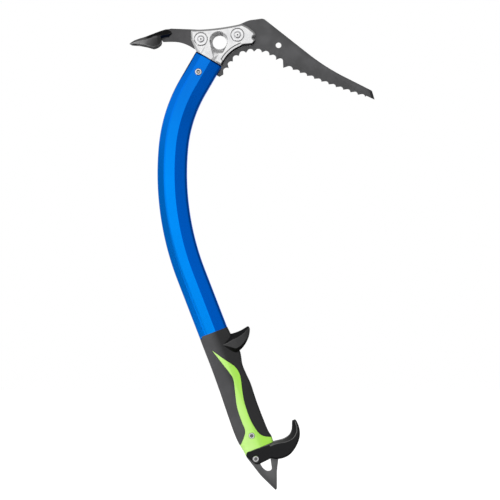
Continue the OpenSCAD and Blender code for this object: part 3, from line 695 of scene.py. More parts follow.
cut(head, skin("carabiner_hole", [hole_ring(r, y) for r, y in both_sides(FLARE)]))
print("width of the hole's throat:", 2 * HOLE_R, "mm")

# %% Slots of the head
PICK_T, ADZE_T = 4, 4.6
pick_seat = [shaft_point(FRONT, 0), Vector((1.4, -18)), Vector((6.3, -9.6)), Vector((SLOT_END, -3.6))]
adze_seat = [Vector((-SLOT_END, ADZE_BOLT.y - 5)), Vector((-26.4, ADZE_BOLT.y - 10))]
cut(head, slot_cutter([(REACH, -REACH)] + pick_seat + [(SLOT_END, REACH), (REACH, REACH)], PICK_T))
cut(head, slot_cutter([(-SLOT_END, REACH)] + adze_seat + [(-REACH, adze_seat[1].y), (-REACH, REACH)], ADZE_T))
print("slots for blades of", PICK_T, "and", ADZE_T, "mm")

# %% Pockets, bores and the forging
NUT_W, NUT_POCKET, NUT_H, BOLT_R = 13, 3.8, 4, 4
WASHER_R, WASHER_T, COUNTERBORE = 7.5, 1.2, 3.4
WASHER_SEAT = HEAD_T / 2 - COUNTERBORE


def hexagon(centre, across_flats):
    """The six corners of a hexagon."""
    return [Vector(centre) + across_flats / 2 / cos(pi / 6) * Vector((cos(pi * k / 3), sin(pi * k / 3)))
            for k in range(6)]


def forge(piece, voxel, passes=2):
    """Melt the faces of a piece together and soften its edges, as a forging or a moulding has them."""
    apply(piece, "REMESH", mode="VOXEL", voxel_size=voxel * MM)
    apply(piece, "SMOOTH", factor=0.5, iterations=passes)


bolt_bore, washer_bore = BOLT_R + CLEARANCE, WASHER_R + CLEARANCE
bore = [(0, -HEAD_T), (bolt_bore, -HEAD_T), (bolt_bore, WASHER_SEAT), (washer_bore, WASHER_SEAT),
        (washer_bore, HEAD_T), (0, HEAD_T)]
for place in (ADZE_BOLT, PICK_BOLT):
    pocket = rounded([(p.x, p.y, 5) for p in hexagon(place, NUT_W + 1)], steps=6)
    cut(head, prism("pocket", pocket, -HEAD_T, NUT_POCKET - HEAD_T / 2))
    cut(head, turned("bore", bore, place))
cut(head, rivet_drill())
forge(head, voxel=0.4)
print("faces of the forging:", len(head.data.polygons))

# %% Marks of the head
FRONT_DOWN = Vector((0.73, 0, -0.68))
NUT_ROOM, RIM_ROOM = 9.2, 11.5
CHEEK_INSIDE, CHEEK_EDGE = 5, 8.2


def shaded_corners(p, n):
    """Painted shade in the hole's flare and along the lower front edge, where the cheek stands over the pick.
    """
    facing, out = n.dot(FRONT_DOWN), Vector((p.x, p.z)).length
    if out < HOLE_RIM_R + 1:
        return 0.2 * ramp(facing, 0.2, 0.6)
    by_nut = (Vector((p.x, p.z)) - PICK_BOLT).length < NUT_ROOM
    on_edge = p.x >= 1 and -26 < p.z < 5 and abs(p.y) >= CHEEK_INSIDE and abs(n.y) >= 0.15
    if by_nut or out < RIM_ROOM or not on_edge:
        return 0
    return ramp(facing, 0.3, 0.55) * (1 if abs(p.y) < CHEEK_EDGE else 0.5)


mark(head, "painted_shade", shaded_corners)
hand_over(head, "head", head_silver, forged=True)

# %% [markdown]
# ## The pick
# A hardened steel plate, laser cut and ground, with two rows of teeth. Its outline could be traced by
# hand, but every gap between two teeth has a slope up from the first tip and a round drop to the second.
# So one function draws a gap and a loop repeats it along an arc and along a shallow bow. The outline is
# skinned as a plate with its edges eased, and the point is ground on both faces with two wedge cutters.

# %% Teeth of the pick
TIP_LAND = 0.4
REAR_ROW, REAR_ROW_R, REAR_FROM, REAR_TO = Vector((38, -43)), 33, 166.5, 46.2
REAR_GAPS, REAR_DEPTH, FRONT_GAPS, FRONT_DEPTH = 8, 3.2, 10, 2.1
REAR_DRAWN = {0: -1.6, 1: 1.2, 2: 0.6}
HOOK_TIP, FRONT_ROW_FROM, PICK_POINT = Vector((68.5, -27.6)), Vector((79.1, -29.7)), Vector((166.6, -61.8))
PICK_BROW, FRONT_ROW_TO = PICK_POINT + Vector((-2.8, 9.4)), PICK_POINT + Vector((-9.9, 2.9))


def arc(centre, radius, start, end, steps):
    """Points on a circle between two angles in degrees."""
    angles = [radians(start + (end - start) * k / steps) for k in range(steps + 1)]
    return [Vector(centre) + radius * Vector((cos(t), sin(t))) for t in angles]


def tooth_gap(start, end, depth):
    """Edge of one gap between two tooth tips."""
    length, way = (end - start).length, (end - start).normalized()
    side = Vector((-way.y, way.x))
    r = max(0.36 * length, depth * 1.2)
    far = length - TIP_LAND / 2
    drop = arc((far - 0.98 * r, depth - r), r, 118, degrees(asin(1 - depth / r)) + 4, 10)
    return [start + way * p[0] + side * p[1] for p in [(TIP_LAND / 2, 0)] + drop + [(far, 0)]]


def row_of_gaps(tip, count, depth):
    """Edge through so many gaps, between tips that a function gives."""
    return [p for i in range(count) for p in tooth_gap(tip(i), tip(i + 1), depth)]


def rear_tip(i):
    """Tip of the rear row, on an arc, from which the first few are drawn in or let out a little."""
    turn = radians(REAR_FROM + (REAR_TO - REAR_FROM) * i / REAR_GAPS)
    return REAR_ROW + (REAR_ROW_R - REAR_DRAWN.get(i, 0)) * Vector((cos(turn), sin(turn)))


def front_tip(i):
    """Tip of the front row, on a shallow bow."""
    return bow(FRONT_ROW_FROM, FRONT_ROW_TO, 1.1, i / FRONT_GAPS)


rear_row = row_of_gaps(rear_tip, REAR_GAPS, REAR_DEPTH)
front_row = row_of_gaps(front_tip, FRONT_GAPS, FRONT_DEPTH)
print("points on the two rows of teeth:", len(rear_row), len(front_row))

# %% Outline of the pick
TAIL_LEN = 10.7
seat_edge = [p + Vector((SLOT_GAP, 0)) for p in reversed(pick_seat)]
pick_outline = rounded(
    sharp([shaft_point(FRONT + 0.1, -TAIL_LEN), shaft_point(FRONT + 3.2, -TAIL_LEN)]) + sharp(rear_row)
    + [(68.2, -16.2, 4)] + sharp(tooth_gap(HOOK_TIP, FRONT_ROW_FROM, REAR_DEPTH)) + sharp(front_row)
    + sharp([FRONT_ROW_TO + Vector((1.2, 1.3)), PICK_POINT])
    + [(*PICK_BROW, 0.8), (114, -27.3, 230), (47.4, 25.1, 6), (31.5, 23, 22)]
    + [(PICK_BOLT.x + 4.3, PICK_BOLT.y + 12.8, 8), (SLOT_END + SLOT_GAP, PICK_BOLT.y + 8.5, 1.5)]
    + sharp(seat_edge), steps=12)
print("points round the pick:", len(pick_outline))

# %% Holes and point of the pick
PICK_EYE, PICK_EYE_R, EASED = Vector((63.6, -3.6)), 3.05, 0.15
TIP_BEVEL, TIP_EDGE = 3, 1


def grind(start, end, width, edge, thick, side):
    """Wedge that bevels one face of a plate along an edge, with the plate to the left of the way."""
    way = (end - start).normalized()
    inward = Vector((-way.y, way.x))
    slope = (thick - edge) / 2 / width
    ring = [(-3, edge / 2 - 3 * slope), (width + 2, edge / 2 + (width + 2) * slope), (-3, thick)]
    return skin("grind", [[(p.x + inward.x * d, side * y, p.y + inward.y * d) for d, y in ring]
                          for p in (start - way * 6, end + way * 6)])


pick = plate("toothed_pick", pick_outline, PICK_T, bevel=0.18, steps=2)
for place, radius in ((PICK_EYE, PICK_EYE_R), (PICK_BOLT, bolt_bore)):
    half = PICK_T / 2
    eased = [(0, -REACH), (radius + EASED, -REACH), (radius + EASED, -half), (radius, EASED - half)]
    cut(pick, turned("drill", both_sides(eased), place))
for side in (-1, 1):
    cut(pick, grind(PICK_POINT, PICK_BROW, TIP_BEVEL, TIP_EDGE, PICK_T, side))
hand_over(pick, "pick", blade_steel, angle=25)

# %% [markdown]
# ## The adze
# A flat steel arm that is forged out into an arched blade for chopping steps. It could be sculpted, but
# lines of heights are easier to measure and to change. So the blade is a skin over rings that follow a
# ridge line, a crease and a lower edge line, each a short list of heights, and the arm is a plate that
# runs into it. A remesh blends the two as the hammer would.

# %% Lines of the adze's blade
ADZE_TIP, BLADE_T, BLADE_EDGE_T = -96, 2.8, 0.8
RIDGE = [(-96, -1.8), (-91, 1.6), (-86, 3.5), (-80, 5.3), (-70.5, 8.9), (-63.4, 11.7), (-57.7, 13.5),
         (-50, 14.1)]
CREASE = [(-96, -2.9), (-90, -1.2), (-79, 1.2), (-73, 3.6), (-68.5, 5.7), (-64, 6.3), (-58, 6.9), (-50, 9.2)]
EDGE = [(-96, -2.6), (-92.5, -2.9), (-85, -3.4), (-77.4, -4.8), (-69.5, -6.9), (-60, -9.5)]
CREASE_HALF = [(-96, 12), (-85, 12.6), (-66, 12), (-58, 7.5), (-50, 2.2)]
EDGE_HALF = [(-96, 12.1), (-90, 12.6), (-85, 13.2), (-77, 14.4), (-69, 16.2), (-60, 16.5)]
ROOF_REAR = -50
WING_REAR = [(0, -62.8), (0.2, -61.9), (0.43, -61.4), (0.6, -62.6), (0.8, -65.8), (1, -70.3)]


def height_on(line, x):
    """Height of a polyline at x."""
    for (x0, z0), (x1, z1) in zip(line, line[1:]):
        if x <= x1:
            return z0 + (z1 - z0) * (x - x0) / (x1 - x0)
    return line[-1][1]


print("height of the ridge above the hole:", height_on(RIDGE, ROOF_REAR), "mm")


# %% Rings of the adze's blade
def blade_points(s, share, thick):
    """Outer and inner point of half the blade: share 0 at the ridge, 1 at the crease, 2 at the edge."""
    fall = max(0, share - 1)
    tip = ADZE_TIP + 2.2 * min(1, share) ** 2 + 0.6 * fall
    rear = ROOF_REAR if fall == 0 else height_on(WING_REAR, fall)
    x = tip + (rear - tip) * s
    crease, crease_half = height_on(CREASE, x), height_on(CREASE_HALF, x)
    if fall == 0:
        ridge = height_on(RIDGE, x)
        y, z = crease_half * share, ridge + (crease - ridge) * share ** 1.8
        return (x, y, z), (x, y * (1 - min(0.8, 0.9 * thick * share / crease_half)), z - thick)
    y = crease_half + (height_on(EDGE_HALF, x) - crease_half) * fall ** 1.2
    z = crease + (height_on(EDGE, x) - crease) * fall
    return (x, y, z), (x, y - thick, z - thick * (1 - fall) ** 2)


def blade_ring(s):
    """Section of the blade, from one wing's edge over the ridge to the other's, and back along its inside."""
    thick = BLADE_EDGE_T + (BLADE_T - BLADE_EDGE_T) * min(1, s * 3)
    shares = [k / 5 for k in range(6)] + [1.05, 1.12] + [1.2 + k / 10 for k in range(9)]
    outer, inner = zip(*[blade_points(s, share, thick) for share in shares])
    mirrored = [(x, -y, z) for x, y, z in outer[:0:-1]], [(x, -y, z) for x, y, z in inner[:0:-1]]
    return mirrored[0] + list(outer) + list(inner)[::-1] + mirrored[1][::-1]


def shut(ring):
    """The same ring with its outside and inside drawn together, which closes the blade's end."""
    return [tuple((Vector(p) + Vector(q)) / 2) for p, q in zip(ring, ring[::-1])]


blade = [blade_ring(k / 30) for k in range(31)]
print("points in a ring of the blade:", len(blade[0]))

# %% Blade and arm of the adze
arm_low = spline([(-28.4, -6.3), (-31.1, -4.7), (-37, -2), (-43.3, -0.3), (-50, 0.2), (-60, 0)])
arm_outline = rounded(sharp([p + Vector((-SLOT_GAP, SLOT_GAP)) for p in adze_seat]) + sharp(arm_low)
                      + [(-64, 5, 2), (-61, 11, 4), (-52, 14.2, 8), (-SLOT_END - SLOT_GAP, 12.7, 1.5)])
adze = plate("scoop_adze", arm_outline[::-1], ADZE_T, bevel=0.3)
combine(adze, skin("blade", [shut(blade[0])] + blade + [shut(blade[-1])]), "UNION")
cut(adze, turned("bolt_hole", drill(bolt_bore), ADZE_BOLT))
forge(adze, voxel=0.3)
print("faces of the adze:", len(adze.data.polygons))


# %% Marks of the adze
def shaded_blade(p, n):
    """Painted shade behind the wing, on the rear of the blade's roof and in the corner under it."""
    if p.z < 3 and p.x < -61:
        return 0.35 * min(1, ramp(p.x, -73, -67))
    on_roof, under_roof = n.z > 0.35 and abs(p.y) > ADZE_T / 2, n.z < -0.15 and p.z > 3
    return 0.9 * min(1, ramp(p.x, -79, -77)) if p.x < -47 and (on_roof or under_roof) else 0


mark(adze, "painted_shade", shaded_blade)
# Painted highlight on the faces that turn up near the blade's tip.
mark(adze, "painted_tip_light", lambda p, n: min(1, ramp(n.z, 0.2, 0.5)) * max(0, ramp(p.x, -76, -81)))
hand_over(adze, "adze", adze_steel, forged=True)

# %% [markdown]
# ## The grip
# A rubber sleeve moulded in two colours: black, with a lime collar that runs up the side as a tapering
# stripe. Two sleeves could be modelled apart, but both colours share one moulded surface. So one skin is
# made over a few stations, and the stripe's outline cuts it into the two pieces, with a hair of space
# between them that shows as the parting line.

# %% Body of the grip
LIP, REST_CORNER_R = 5, 4
GRIP_STATIONS = [
    (-GRIP_LEN - LIP, -0.6, 1.8, 2.4), (-GRIP_LEN, -0.4, 1.8, 2.5), (-GRIP_LEN + 6, 0.6, 2.2, 2.5),
    (-GRIP_LEN + 12, 1.7, 1, 2.5), (-GRIP_LEN + 24, 2.3, 0.6, 2.5), (-GRIP_LEN + 46, 1.7, 0.7, 2.3),
    (-66, 0.8, 1.6, 2.2), (-55, 0.4, 0.9, 2.1), (-44, 0.1, 0.7, 2), (-34, 0, 2.8, 2), (-28, 0, 3.3, 2),
    (-14, 0.1, 1.4, 1.4), (-5, 0.1, 0.5, 0.6), (0, 0, 0, 0)]
COLLAR_HALF = SHAFT_T / 2 + 2.5


def shaft_bore():
    """Cutter of the shaft's drawn-in stretch, for what is moulded round it."""
    section = shaft_section(GRIP_STEP - 0.1)
    return skin("bore", [ring_at(at_grip, section, v) for v in (1, -GRIP_LEN - LIP - 1)])


def grip_body(name):
    """Skin of the whole sleeve, over stations of a height and how far its back, front and sides stand out."""
    body = skin(name, [ring_at(at_grip, shaft_section(0, back, front, side, faceted=False), v)
                       for v, back, front, side in spline(GRIP_STATIONS, steps=5)])
    cut(body, shaft_bore())
    return body


print("stations along the grip:", len(GRIP_STATIONS))

# %% Outline of the stripe
PARTING = 0.08
rest_corner = (BACK + 1.3 + REST_CORNER_R, -GRIP_LEN - REST_CORNER_R)


def inlay_outline(gap):
    """Outline of the lime stripe and collar in the grip's frame, drawn in by a gap."""
    stripe_front = [(-8.3, -17.2), (1.6, -32.2), (8.2, -42), (10.3, -50.5), (9.4, -58), (6.3, -70.4),
                    (4.1, -83), (3.6, -GRIP_LEN + 31), (6.2, -GRIP_LEN + 16.3), (10.5, -GRIP_LEN + 9.7),
                    (FRONT + 1.5, -GRIP_LEN + 6)]
    stripe_back = [(BACK + 0.5, -GRIP_LEN + 10), (-6.4, -GRIP_LEN + 21), (-5.8, -GRIP_LEN + 32), (-5, -83.9),
                   (-0.4, -64.9), (2, -54.7), (1, -47.5), (-3.9, -31.3)]
    outline = spline(stripe_front)
    outline += [Vector((FRONT + REACH, -GRIP_LEN + 6)), Vector((FRONT + REACH, -GRIP_LEN))]
    outline += arc(rest_corner, REST_CORNER_R + 0.1, 90, 180, 8)
    outline += [Vector((BACK - REACH, -GRIP_LEN - REST_CORNER_R)), Vector((BACK - REACH, -GRIP_LEN + 10))]
    outline += spline(stripe_back)
    return inset(outline[::-1], gap)


print("points round the stripe:", len(inlay_outline(PARTING)))

# %% Lime inlay
SCREW_R, SLEEVE_R, SCREW_HEAD_R, SCREW_HEAD_H, SCREW_SUNK = 2, 2.9, 3.3, 2, 1.6
GRIP_SCREW, REST_SCREW = (-1.3, -GRIP_LEN + 14.8), (BACK + 9.7, -GRIP_LEN - 10)


def screw_bore(place, half):
    """Bore of a grip screw, with the seats for its two heads."""
    seat, r_head, r_sleeve = half - SCREW_SUNK, SCREW_HEAD_R + CLEARANCE, SLEEVE_R + CLEARANCE
    profile = [(0, -REACH), (r_head, -REACH), (r_head, -seat), (r_sleeve, -seat)]
    return turned("screw_bore", both_sides(profile), place, sides=32, place=at_grip)


inlay = grip_body("grip_inlay_lime")
combine(inlay, prism("stripe", inlay_outline(PARTING), -REACH, REACH, at_grip), "INTERSECT")
cut(inlay, screw_bore(GRIP_SCREW, COLLAR_HALF))
hand_over(inlay, "grip_inlay", rubber_lime)

# %% [markdown]
# ## The trigger
# The upper finger rest is a hard moulded horn that the sleeve holds. A box under a Subdivision Surface
# modifier could give such a shape, but here a roof, an upright side and a keel meet at clear edges. So
# each station along the horn has a section with those edges, and the same skin first cuts its own seat
# into the sleeve.

# %% Form of the trigger
TRIGGER_W = 25
TRIGGER_STATIONS = [
    (-10.4, -13.6, -20.5, 0.9, 0.5), (-6, -11, -27, 0.98, 0.46), (0, -8.6, -29.2, 1, 0.24),
    (3.5, -8.8, -28.3, 0.97, 0.2), (8, -9, -26.4, 0.88, 0.18), (13, -8.7, -23, 0.76, 0.18),
    (17.5, -7.9, -18.6, 0.6, 0.18), (20.6, -7.4, -14, 0.44, 0.2), (22, -8.6, -10.8, 0.26, 0.25)]


def trigger_ring(ahead, top, low, share, keel):
    """Section of the trigger: a sloping roof, an upright side and a keel with its share of the height."""
    half, tall = TRIGGER_W / 2 * share, top - low
    section = rounded([(-0.7 * half, low, 2), (0.7 * half, low, 2), (half, low + keel * tall, 0.8),
                       (half, top - 0.3 * tall, 1.2), (0.4 * half, top, 2), (-0.4 * half, top, 2),
                       (-half, top - 0.3 * tall, 1.2), (-half, low + keel * tall, 0.8)], steps=4, between=6)
    return [at_grip(FRONT + ahead, p.x, p.y) for p in section]


def trigger_horn(name):
    """Skin of the trigger, over stations from inside the sleeve to its tip."""
    return skin(name, [trigger_ring(*station) for station in spline(TRIGGER_STATIONS, steps=5)])


print("stations along the trigger:", len(TRIGGER_STATIONS))

# %% Rubber sleeve with the seat of the trigger
RUBBER_END = -GRIP_LEN + 5
rubber = grip_body("grip_sleeve")
cut(rubber, prism("stripe", inlay_outline(-PARTING), -REACH, REACH, at_grip))
below = [(-REACH, RUBBER_END), (-REACH, -GRIP_LEN - REACH), (REACH, -GRIP_LEN - REACH), (REACH, RUBBER_END)]
cut(rubber, prism("below", below, -REACH, REACH, at_grip))
cut(rubber, trigger_horn("horn_seat"))
hand_over(rubber, "grip_rubber", rubber_black)

# %% Trigger
GRIP_UP = Vector(at_grip(0, 0, 1)) - Vector(at_grip(0, 0, 0))
trigger = trigger_horn("trigger_rest")
cut(trigger, shaft_bore())
# Painted shade on the trigger's roof and keel, and a painted highlight along the crease of its roof.
mark(trigger, "painted_shade", lambda p, n: ramp(abs(n.dot(GRIP_UP)), 0.25, 0.45))
mark(trigger, "painted_highlight", lambda p, n: peak(n.dot(GRIP_UP), 0.35, 0.3, 0.6))
hand_over(trigger, "trigger", trigger_black)

# %% [markdown]
# ## The spike and the lower rest
# The spike is a ground steel plate with an eye for a leash. The lower rest is a moulded fork over that
# plate which runs out into a hook for the little finger. A curve with a bevel object could make the hook,
# but its section changes along the way. So it is a skin over rings along its curve, each with a wide
# bevel on its inner edge, and one remesh joins it to the fork.

# %% Spike plate
SPIKE_T, SPIKE_LEN, TANG_W, TANG_LEN = 4, 49.6, 15, 27
LOW = -GRIP_LEN
spike_outline = rounded([
    (TANG_W / 2, LOW + TANG_LEN, 2), (-TANG_W / 2, LOW + TANG_LEN, 2), (-TANG_W / 2, LOW - 0.1, 0),
    (BACK + 4.2, LOW - 0.1, 0), (BACK + 1.4, LOW - 4, 3), (BACK + 0.6, LOW - 5, 0),
    (BACK + 8, LOW - 29.4, 60), (1.4, LOW - SPIKE_LEN, 0.6), (3.2, LOW - SPIKE_LEN + 1, 0),
    (9.8, LOW - 31.4, 20), (FRONT + 0.9, LOW - 18, 6), (FRONT + 0.2, LOW - 0.1, 1),
    (TANG_W / 2, LOW - 0.1, 0)], steps=10)
leash_eye = rounded([(-4.4, LOW - 13.6, 1.2), (-3.2, LOW - 22, 7), (-0.4, LOW - 27.2, 5),
                     (5.4, LOW - 28.6, 5), (8.9, LOW - 13.6, 1.2)], steps=10)
spike = plate("spike_plate", spike_outline, SPIKE_T, bevel=0.3, place=at_grip)
cut(spike, prism("eye", leash_eye, -REACH, REACH, at_grip))
for place in (GRIP_SCREW, REST_SCREW):
    cut(spike, turned("hole", drill(SLEEVE_R + CLEARANCE), place, sides=32, place=at_grip))
hand_over(spike, "spike", spike_steel, angle=25)

# %% Form of the hook
REST_T, REST_BEVEL = 22, 4
HOOK_STATIONS = [
    (-6, 0, -7, -15.3, 1), (0, 0, 0, -18.8, 1), (6, -0.6, 7.6, -19.8, 1), (12.6, -1.3, 14.6, -18.5, 0.98),
    (17.6, -0.6, 21.6, -14.3, 0.93), (21.4, 1.1, 27.4, -8.9, 0.86), (24.4, 4.2, 31.2, -3.2, 0.77),
    (26.4, 8, 33.2, 3.8, 0.67), (27.8, 11.6, 33.2, 10.4, 0.56), (29, 13.8, 32.4, 13.4, 0.44)]


def hook_ring(top_u, top_v, low_u, low_v, share):
    """Section of the hook between a point on its inner and one on its outer curve, with its bevels."""
    low = Vector((FRONT + low_u, LOW + low_v))
    up = Vector((FRONT + top_u, LOW + top_v)) - low
    height, half = up.length, REST_T / 2 * share
    up.normalize()
    bevel, low_r = min(REST_BEVEL, 0.7 * half), min(2, height / 4)
    crease = height - min(0.62 * height, 9.3 - 0.365 * height)
    section = rounded([(-half, 0, low_r), (half, 0, low_r), (half, crease, 0.8), (half - bevel, height, 0.6),
                       (bevel - half, height, 0.6), (-half, crease, 0.8)], steps=4, between=3)
    return [at_grip(low.x + up.x * p.y, p.x, low.y + up.y * p.y) for p in section]


print("stations along the hook:", len(HOOK_STATIONS))

# %% Lower finger rest
FORK_END = FRONT + 0.3
lug = rounded(sharp(arc(rest_corner, REST_CORNER_R, 90, 180, 8))
              + [(BACK + 8, LOW - 16.9, 5.5), (FRONT - 7, LOW - 15.3, 0), (FRONT - 2, LOW - 15, 0),
                 (FRONT - 2, LOW, 0)], steps=10)
rest = plate("hooked_rest", lug, REST_T, bevel=1, place=at_grip)
combine(rest, skin("hook", [hook_ring(*station) for station in spline(HOOK_STATIONS, steps=5)]), "UNION")
fork = [(FORK_END - 2 * REACH, LOW - REACH), (FORK_END, LOW - REACH), (FORK_END, LOW + REACH),
        (FORK_END - 2 * REACH, LOW + REACH)]
cut(rest, slot_cutter(fork, SPIKE_T, at_grip))
cut(rest, screw_bore(REST_SCREW, REST_T / 2))
forge(rest, voxel=0.4)
print("faces of the lower rest:", len(rest.data.polygons))

# %% Marks of the lower rest
finger = Vector(at_grip(FRONT + 10, 0, LOW + 14))


def highlighted_bevel(p, n):
    """Painted highlight on the hook's inner bevel, strongest along its crease."""
    inwards = Vector((finger.x - p.x, 0, finger.z - p.z)).normalized()
    if n.dot(inwards) < 0.1:
        return 0
    bevel = 0.45 * ramp(p.x, 80, 60) if 0.4 < abs(n.y) < 0.9 else 0
    inner_edge = peak(abs(n.y), 0.35, 0.2, 0.7) if p.x > 74 else 0
    return max(peak(abs(n.y), 0.92, 0.045, 1.6), inner_edge, bevel)


mark(rest, "painted_highlight", highlighted_bevel)
hand_over(rest, "lower_rest", rest_black, forged=True)

# %% [markdown]
# ## Fasteners
# Bolts, nuts, washers, screws and the rivet are turned parts: each is a profile spun round its own axis,
# and the hexagons are cut with a six-sided prism. The spin tool could turn them too, but the skin that
# made the tubes closes its own ends. They are small, but their rings and sockets catch the light.


# %% Painted shade and hand-over of fasteners
def shaded_hollow(centre, radius, depth, share=0.85):
    """Rule that paints shade on what lies round an axis across the tool, nearer its middle plane than depth.
    """
    def rule(p, n):
        out = (p.x - centre[0]) ** 2 + (p.z - centre[-1]) ** 2
        return share * (out < radius ** 2 and abs(p.y) < depth)
    return rule


def fasten(piece, node):
    """Hand over a fastener in bright zinc."""
    hand_over(piece, node, zinc, angle=30)


print("fasteners are finished in", zinc.name)

# %% Bolts, washers and nuts of the head
SOCKET_R = 3.2
HEX_SOCKET = SOCKET_R * 2 * cos(pi / 6)
BOLT_SEAT = WASHER_SEAT + WASHER_T
NUT_FLOOR = NUT_POCKET - HEAD_T / 2
NUT_FACE = NUT_FLOOR - NUT_H
BOLT_END = NUT_FACE - 0.5
BOLT_HEAD_R, BOLT_HEAD_H, THREAD_GAP = 6.5, 4, 0.05
BOLT_TOP = BOLT_SEAT + BOLT_HEAD_H
bolt_profile = [(0, BOLT_END + 0.5), (0.7, BOLT_END + 0.2), (0.9, BOLT_END), (2.6, BOLT_END),
                (2.8, BOLT_END + 0.1), (BOLT_R, BOLT_END + 1.2), (BOLT_R, BOLT_SEAT),
                (BOLT_HEAD_R, BOLT_SEAT), (BOLT_HEAD_R, BOLT_TOP - 0.8), (BOLT_HEAD_R - 0.8, BOLT_TOP),
                (0, BOLT_TOP)]
washer_ring = [(bolt_bore, WASHER_SEAT), (WASHER_R, WASHER_SEAT), (WASHER_R, BOLT_SEAT - 0.2),
               (WASHER_R - 0.2, BOLT_SEAT), (bolt_bore, BOLT_SEAT), (bolt_bore, WASHER_SEAT)]
nut_cone = [(0, NUT_FACE - 1), (NUT_W / 2 - 0.2, NUT_FACE - 1), (NUT_W / 2 - 0.2, NUT_FACE),
            (NUT_W / 2 + 2.4, NUT_FACE + 1.5), (NUT_W / 2 + 2.4, NUT_FLOOR + 1), (0, NUT_FLOOR + 1)]
for who, place in (("pick", PICK_BOLT), ("adze", ADZE_BOLT)):
    bolt = turned(who + "_socket_bolt", bolt_profile, place)
    cut(bolt, prism("socket", hexagon(place, HEX_SOCKET), BOLT_SEAT + BOLT_HEAD_H * 0.4, REACH))
    mark(bolt, "painted_shade", shaded_hollow(place, radius=0.8, depth=BOLT_TOP - 0.3))
    fasten(bolt, who + "_bolt")
    fasten(turned(who + "_washer", washer_ring, place), who + "_bolt_washer")
    nut = prism(who + "_hexagon_nut", hexagon(place, NUT_W), NUT_FACE, NUT_FLOOR)
    combine(nut, turned("cone", nut_cone, place), "INTERSECT")
    cut(nut, turned("thread", drill(BOLT_R + THREAD_GAP), place))
    fasten(nut, who + "_nut")

# %% Rivet
half = SHAFT_T / 2
rim = [(0, half - 1.4), (1.2, half - 1.4), (1.7, half), (2, half + 0.8), (2.4, half + 1.2), (3, half + 1.2),
       (3.5, half + 0.9), (RIVET_HEAD_R, half), (RIVET_R, half)]
rivet = turned("hollow_rivet", both_sides(rim), RIVET, sides=40, place=at_shaft_top)
rivet_axis = at_shaft_top(RIVET[0], 0, RIVET[1])
mark(rivet, "painted_shade", shaded_hollow(rivet_axis, radius=1.8, depth=half + 0.4, share=0.5))
fasten(rivet, "head_rivet")

# %% Grip screws and their sleeve nuts
SLEEVE_LEN, SOCKET, THREAD_R = 13, 3.8, SCREW_R + THREAD_GAP
for who, place, half in (("grip", GRIP_SCREW, COLLAR_HALF), ("rest", REST_SCREW, REST_T / 2)):
    seat = half - SCREW_SUNK
    top = seat + SCREW_HEAD_H
    socket, socket_floor = hexagon(place, SOCKET), seat + SCREW_HEAD_H * 0.4
    socket_shade = shaded_hollow(at_grip(place[0], 0, place[1]), radius=SOCKET * 0.6, depth=top - 0.2)
    head_edge = [(SCREW_HEAD_R, seat), (SCREW_HEAD_R, top - 0.5), (SCREW_HEAD_R - 0.5, top), (0, top)]
    shank = [(SCREW_R, -seat), (SCREW_R, SLEEVE_LEN / 2), (0, SLEEVE_LEN / 2)]
    far_edge = [(r, -y) for r, y in reversed(head_edge)]
    screw = turned(who + "_socket_screw", far_edge + shank, place, sides=40, place=at_grip)
    cut(screw, prism("socket", socket, -REACH, -socket_floor, at_grip))
    mark(screw, "painted_shade", socket_shade)
    fasten(screw, who + "_screw")
    sleeve = [(0, seat - 0.5), (THREAD_R, seat - 0.5), (THREAD_R, seat - SLEEVE_LEN),
              (SLEEVE_R, seat - SLEEVE_LEN), (SLEEVE_R, seat)]
    nut = turned(who + "_sleeve_nut", sleeve + head_edge, place, sides=40, place=at_grip)
    cut(nut, prism("socket", socket, socket_floor, REACH, at_grip))
    mark(nut, "painted_shade", socket_shade)
    fasten(nut, who + "_screw_nut")

# %% Plug in the shaft's end
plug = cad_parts["spike_plug"]
plug.data.materials.clear()
plug.data.materials.append(plug_grey)
print(plug.name, "keeps its CAD shape in", plug_grey.name)

# %% [markdown]
# ## Studio
# The tool hangs in front of white, as on a product page. The world is plain white to the camera and to
# reflections and a soft grey light otherwise. A large soft lamp to the upper left shapes the matt pieces.
# The metals take their look from what they mirror: the white room in front of them, and grey cards at its
# sides, which only reflections see. A face that turns away from the camera then goes darker, and the
# edges read.

# %% White world
AMBIENT = 0.55
world = bpy.data.worlds.new("white_studio")
bpy.context.scene.world = world
world.use_nodes = True
nodes, links = world.node_tree.nodes, world.node_tree.links
path = nodes.new("ShaderNodeLightPath")
seen = path.outputs["Is Camera Ray"]
for kind in ("Is Glossy Ray", "Is Transmission Ray"):
    either = nodes.new("ShaderNodeMath")
    either.operation = "MAXIMUM"
    links.new(seen, either.inputs[0])
    links.new(path.outputs[kind], either.inputs[1])
    seen = either.outputs[0]
level = nodes.new("ShaderNodeMapRange")
level.inputs["To Min"].default_value = AMBIENT
level.inputs["To Max"].default_value = 1.0
links.new(seen, level.inputs["Value"])
background = nodes["Background"]
background.inputs["Color"].default_value = (1, 1, 1, 1)
links.new(level.outputs["Result"], background.inputs["Strength"])
print("soft light of the world:", AMBIENT)

# %% Camera
VIEW_CENTRE = Vector((33.05, 0, -223))
VIEW_DISTANCE, VIEW_WIDTH, SENSOR = 2400, 536, 36
eye = VIEW_CENTRE + Vector((0, -VIEW_DISTANCE, 0))
bpy.ops.object.camera_add(location=eye * MM, rotation=(pi / 2, 0, 0))
camera = bpy.context.object
camera.data.sensor_width = SENSOR
camera.data.lens = SENSOR * VIEW_DISTANCE / VIEW_WIDTH
bpy.context.scene.camera = camera
print("lens:", round(camera.data.lens, 1), "mm")

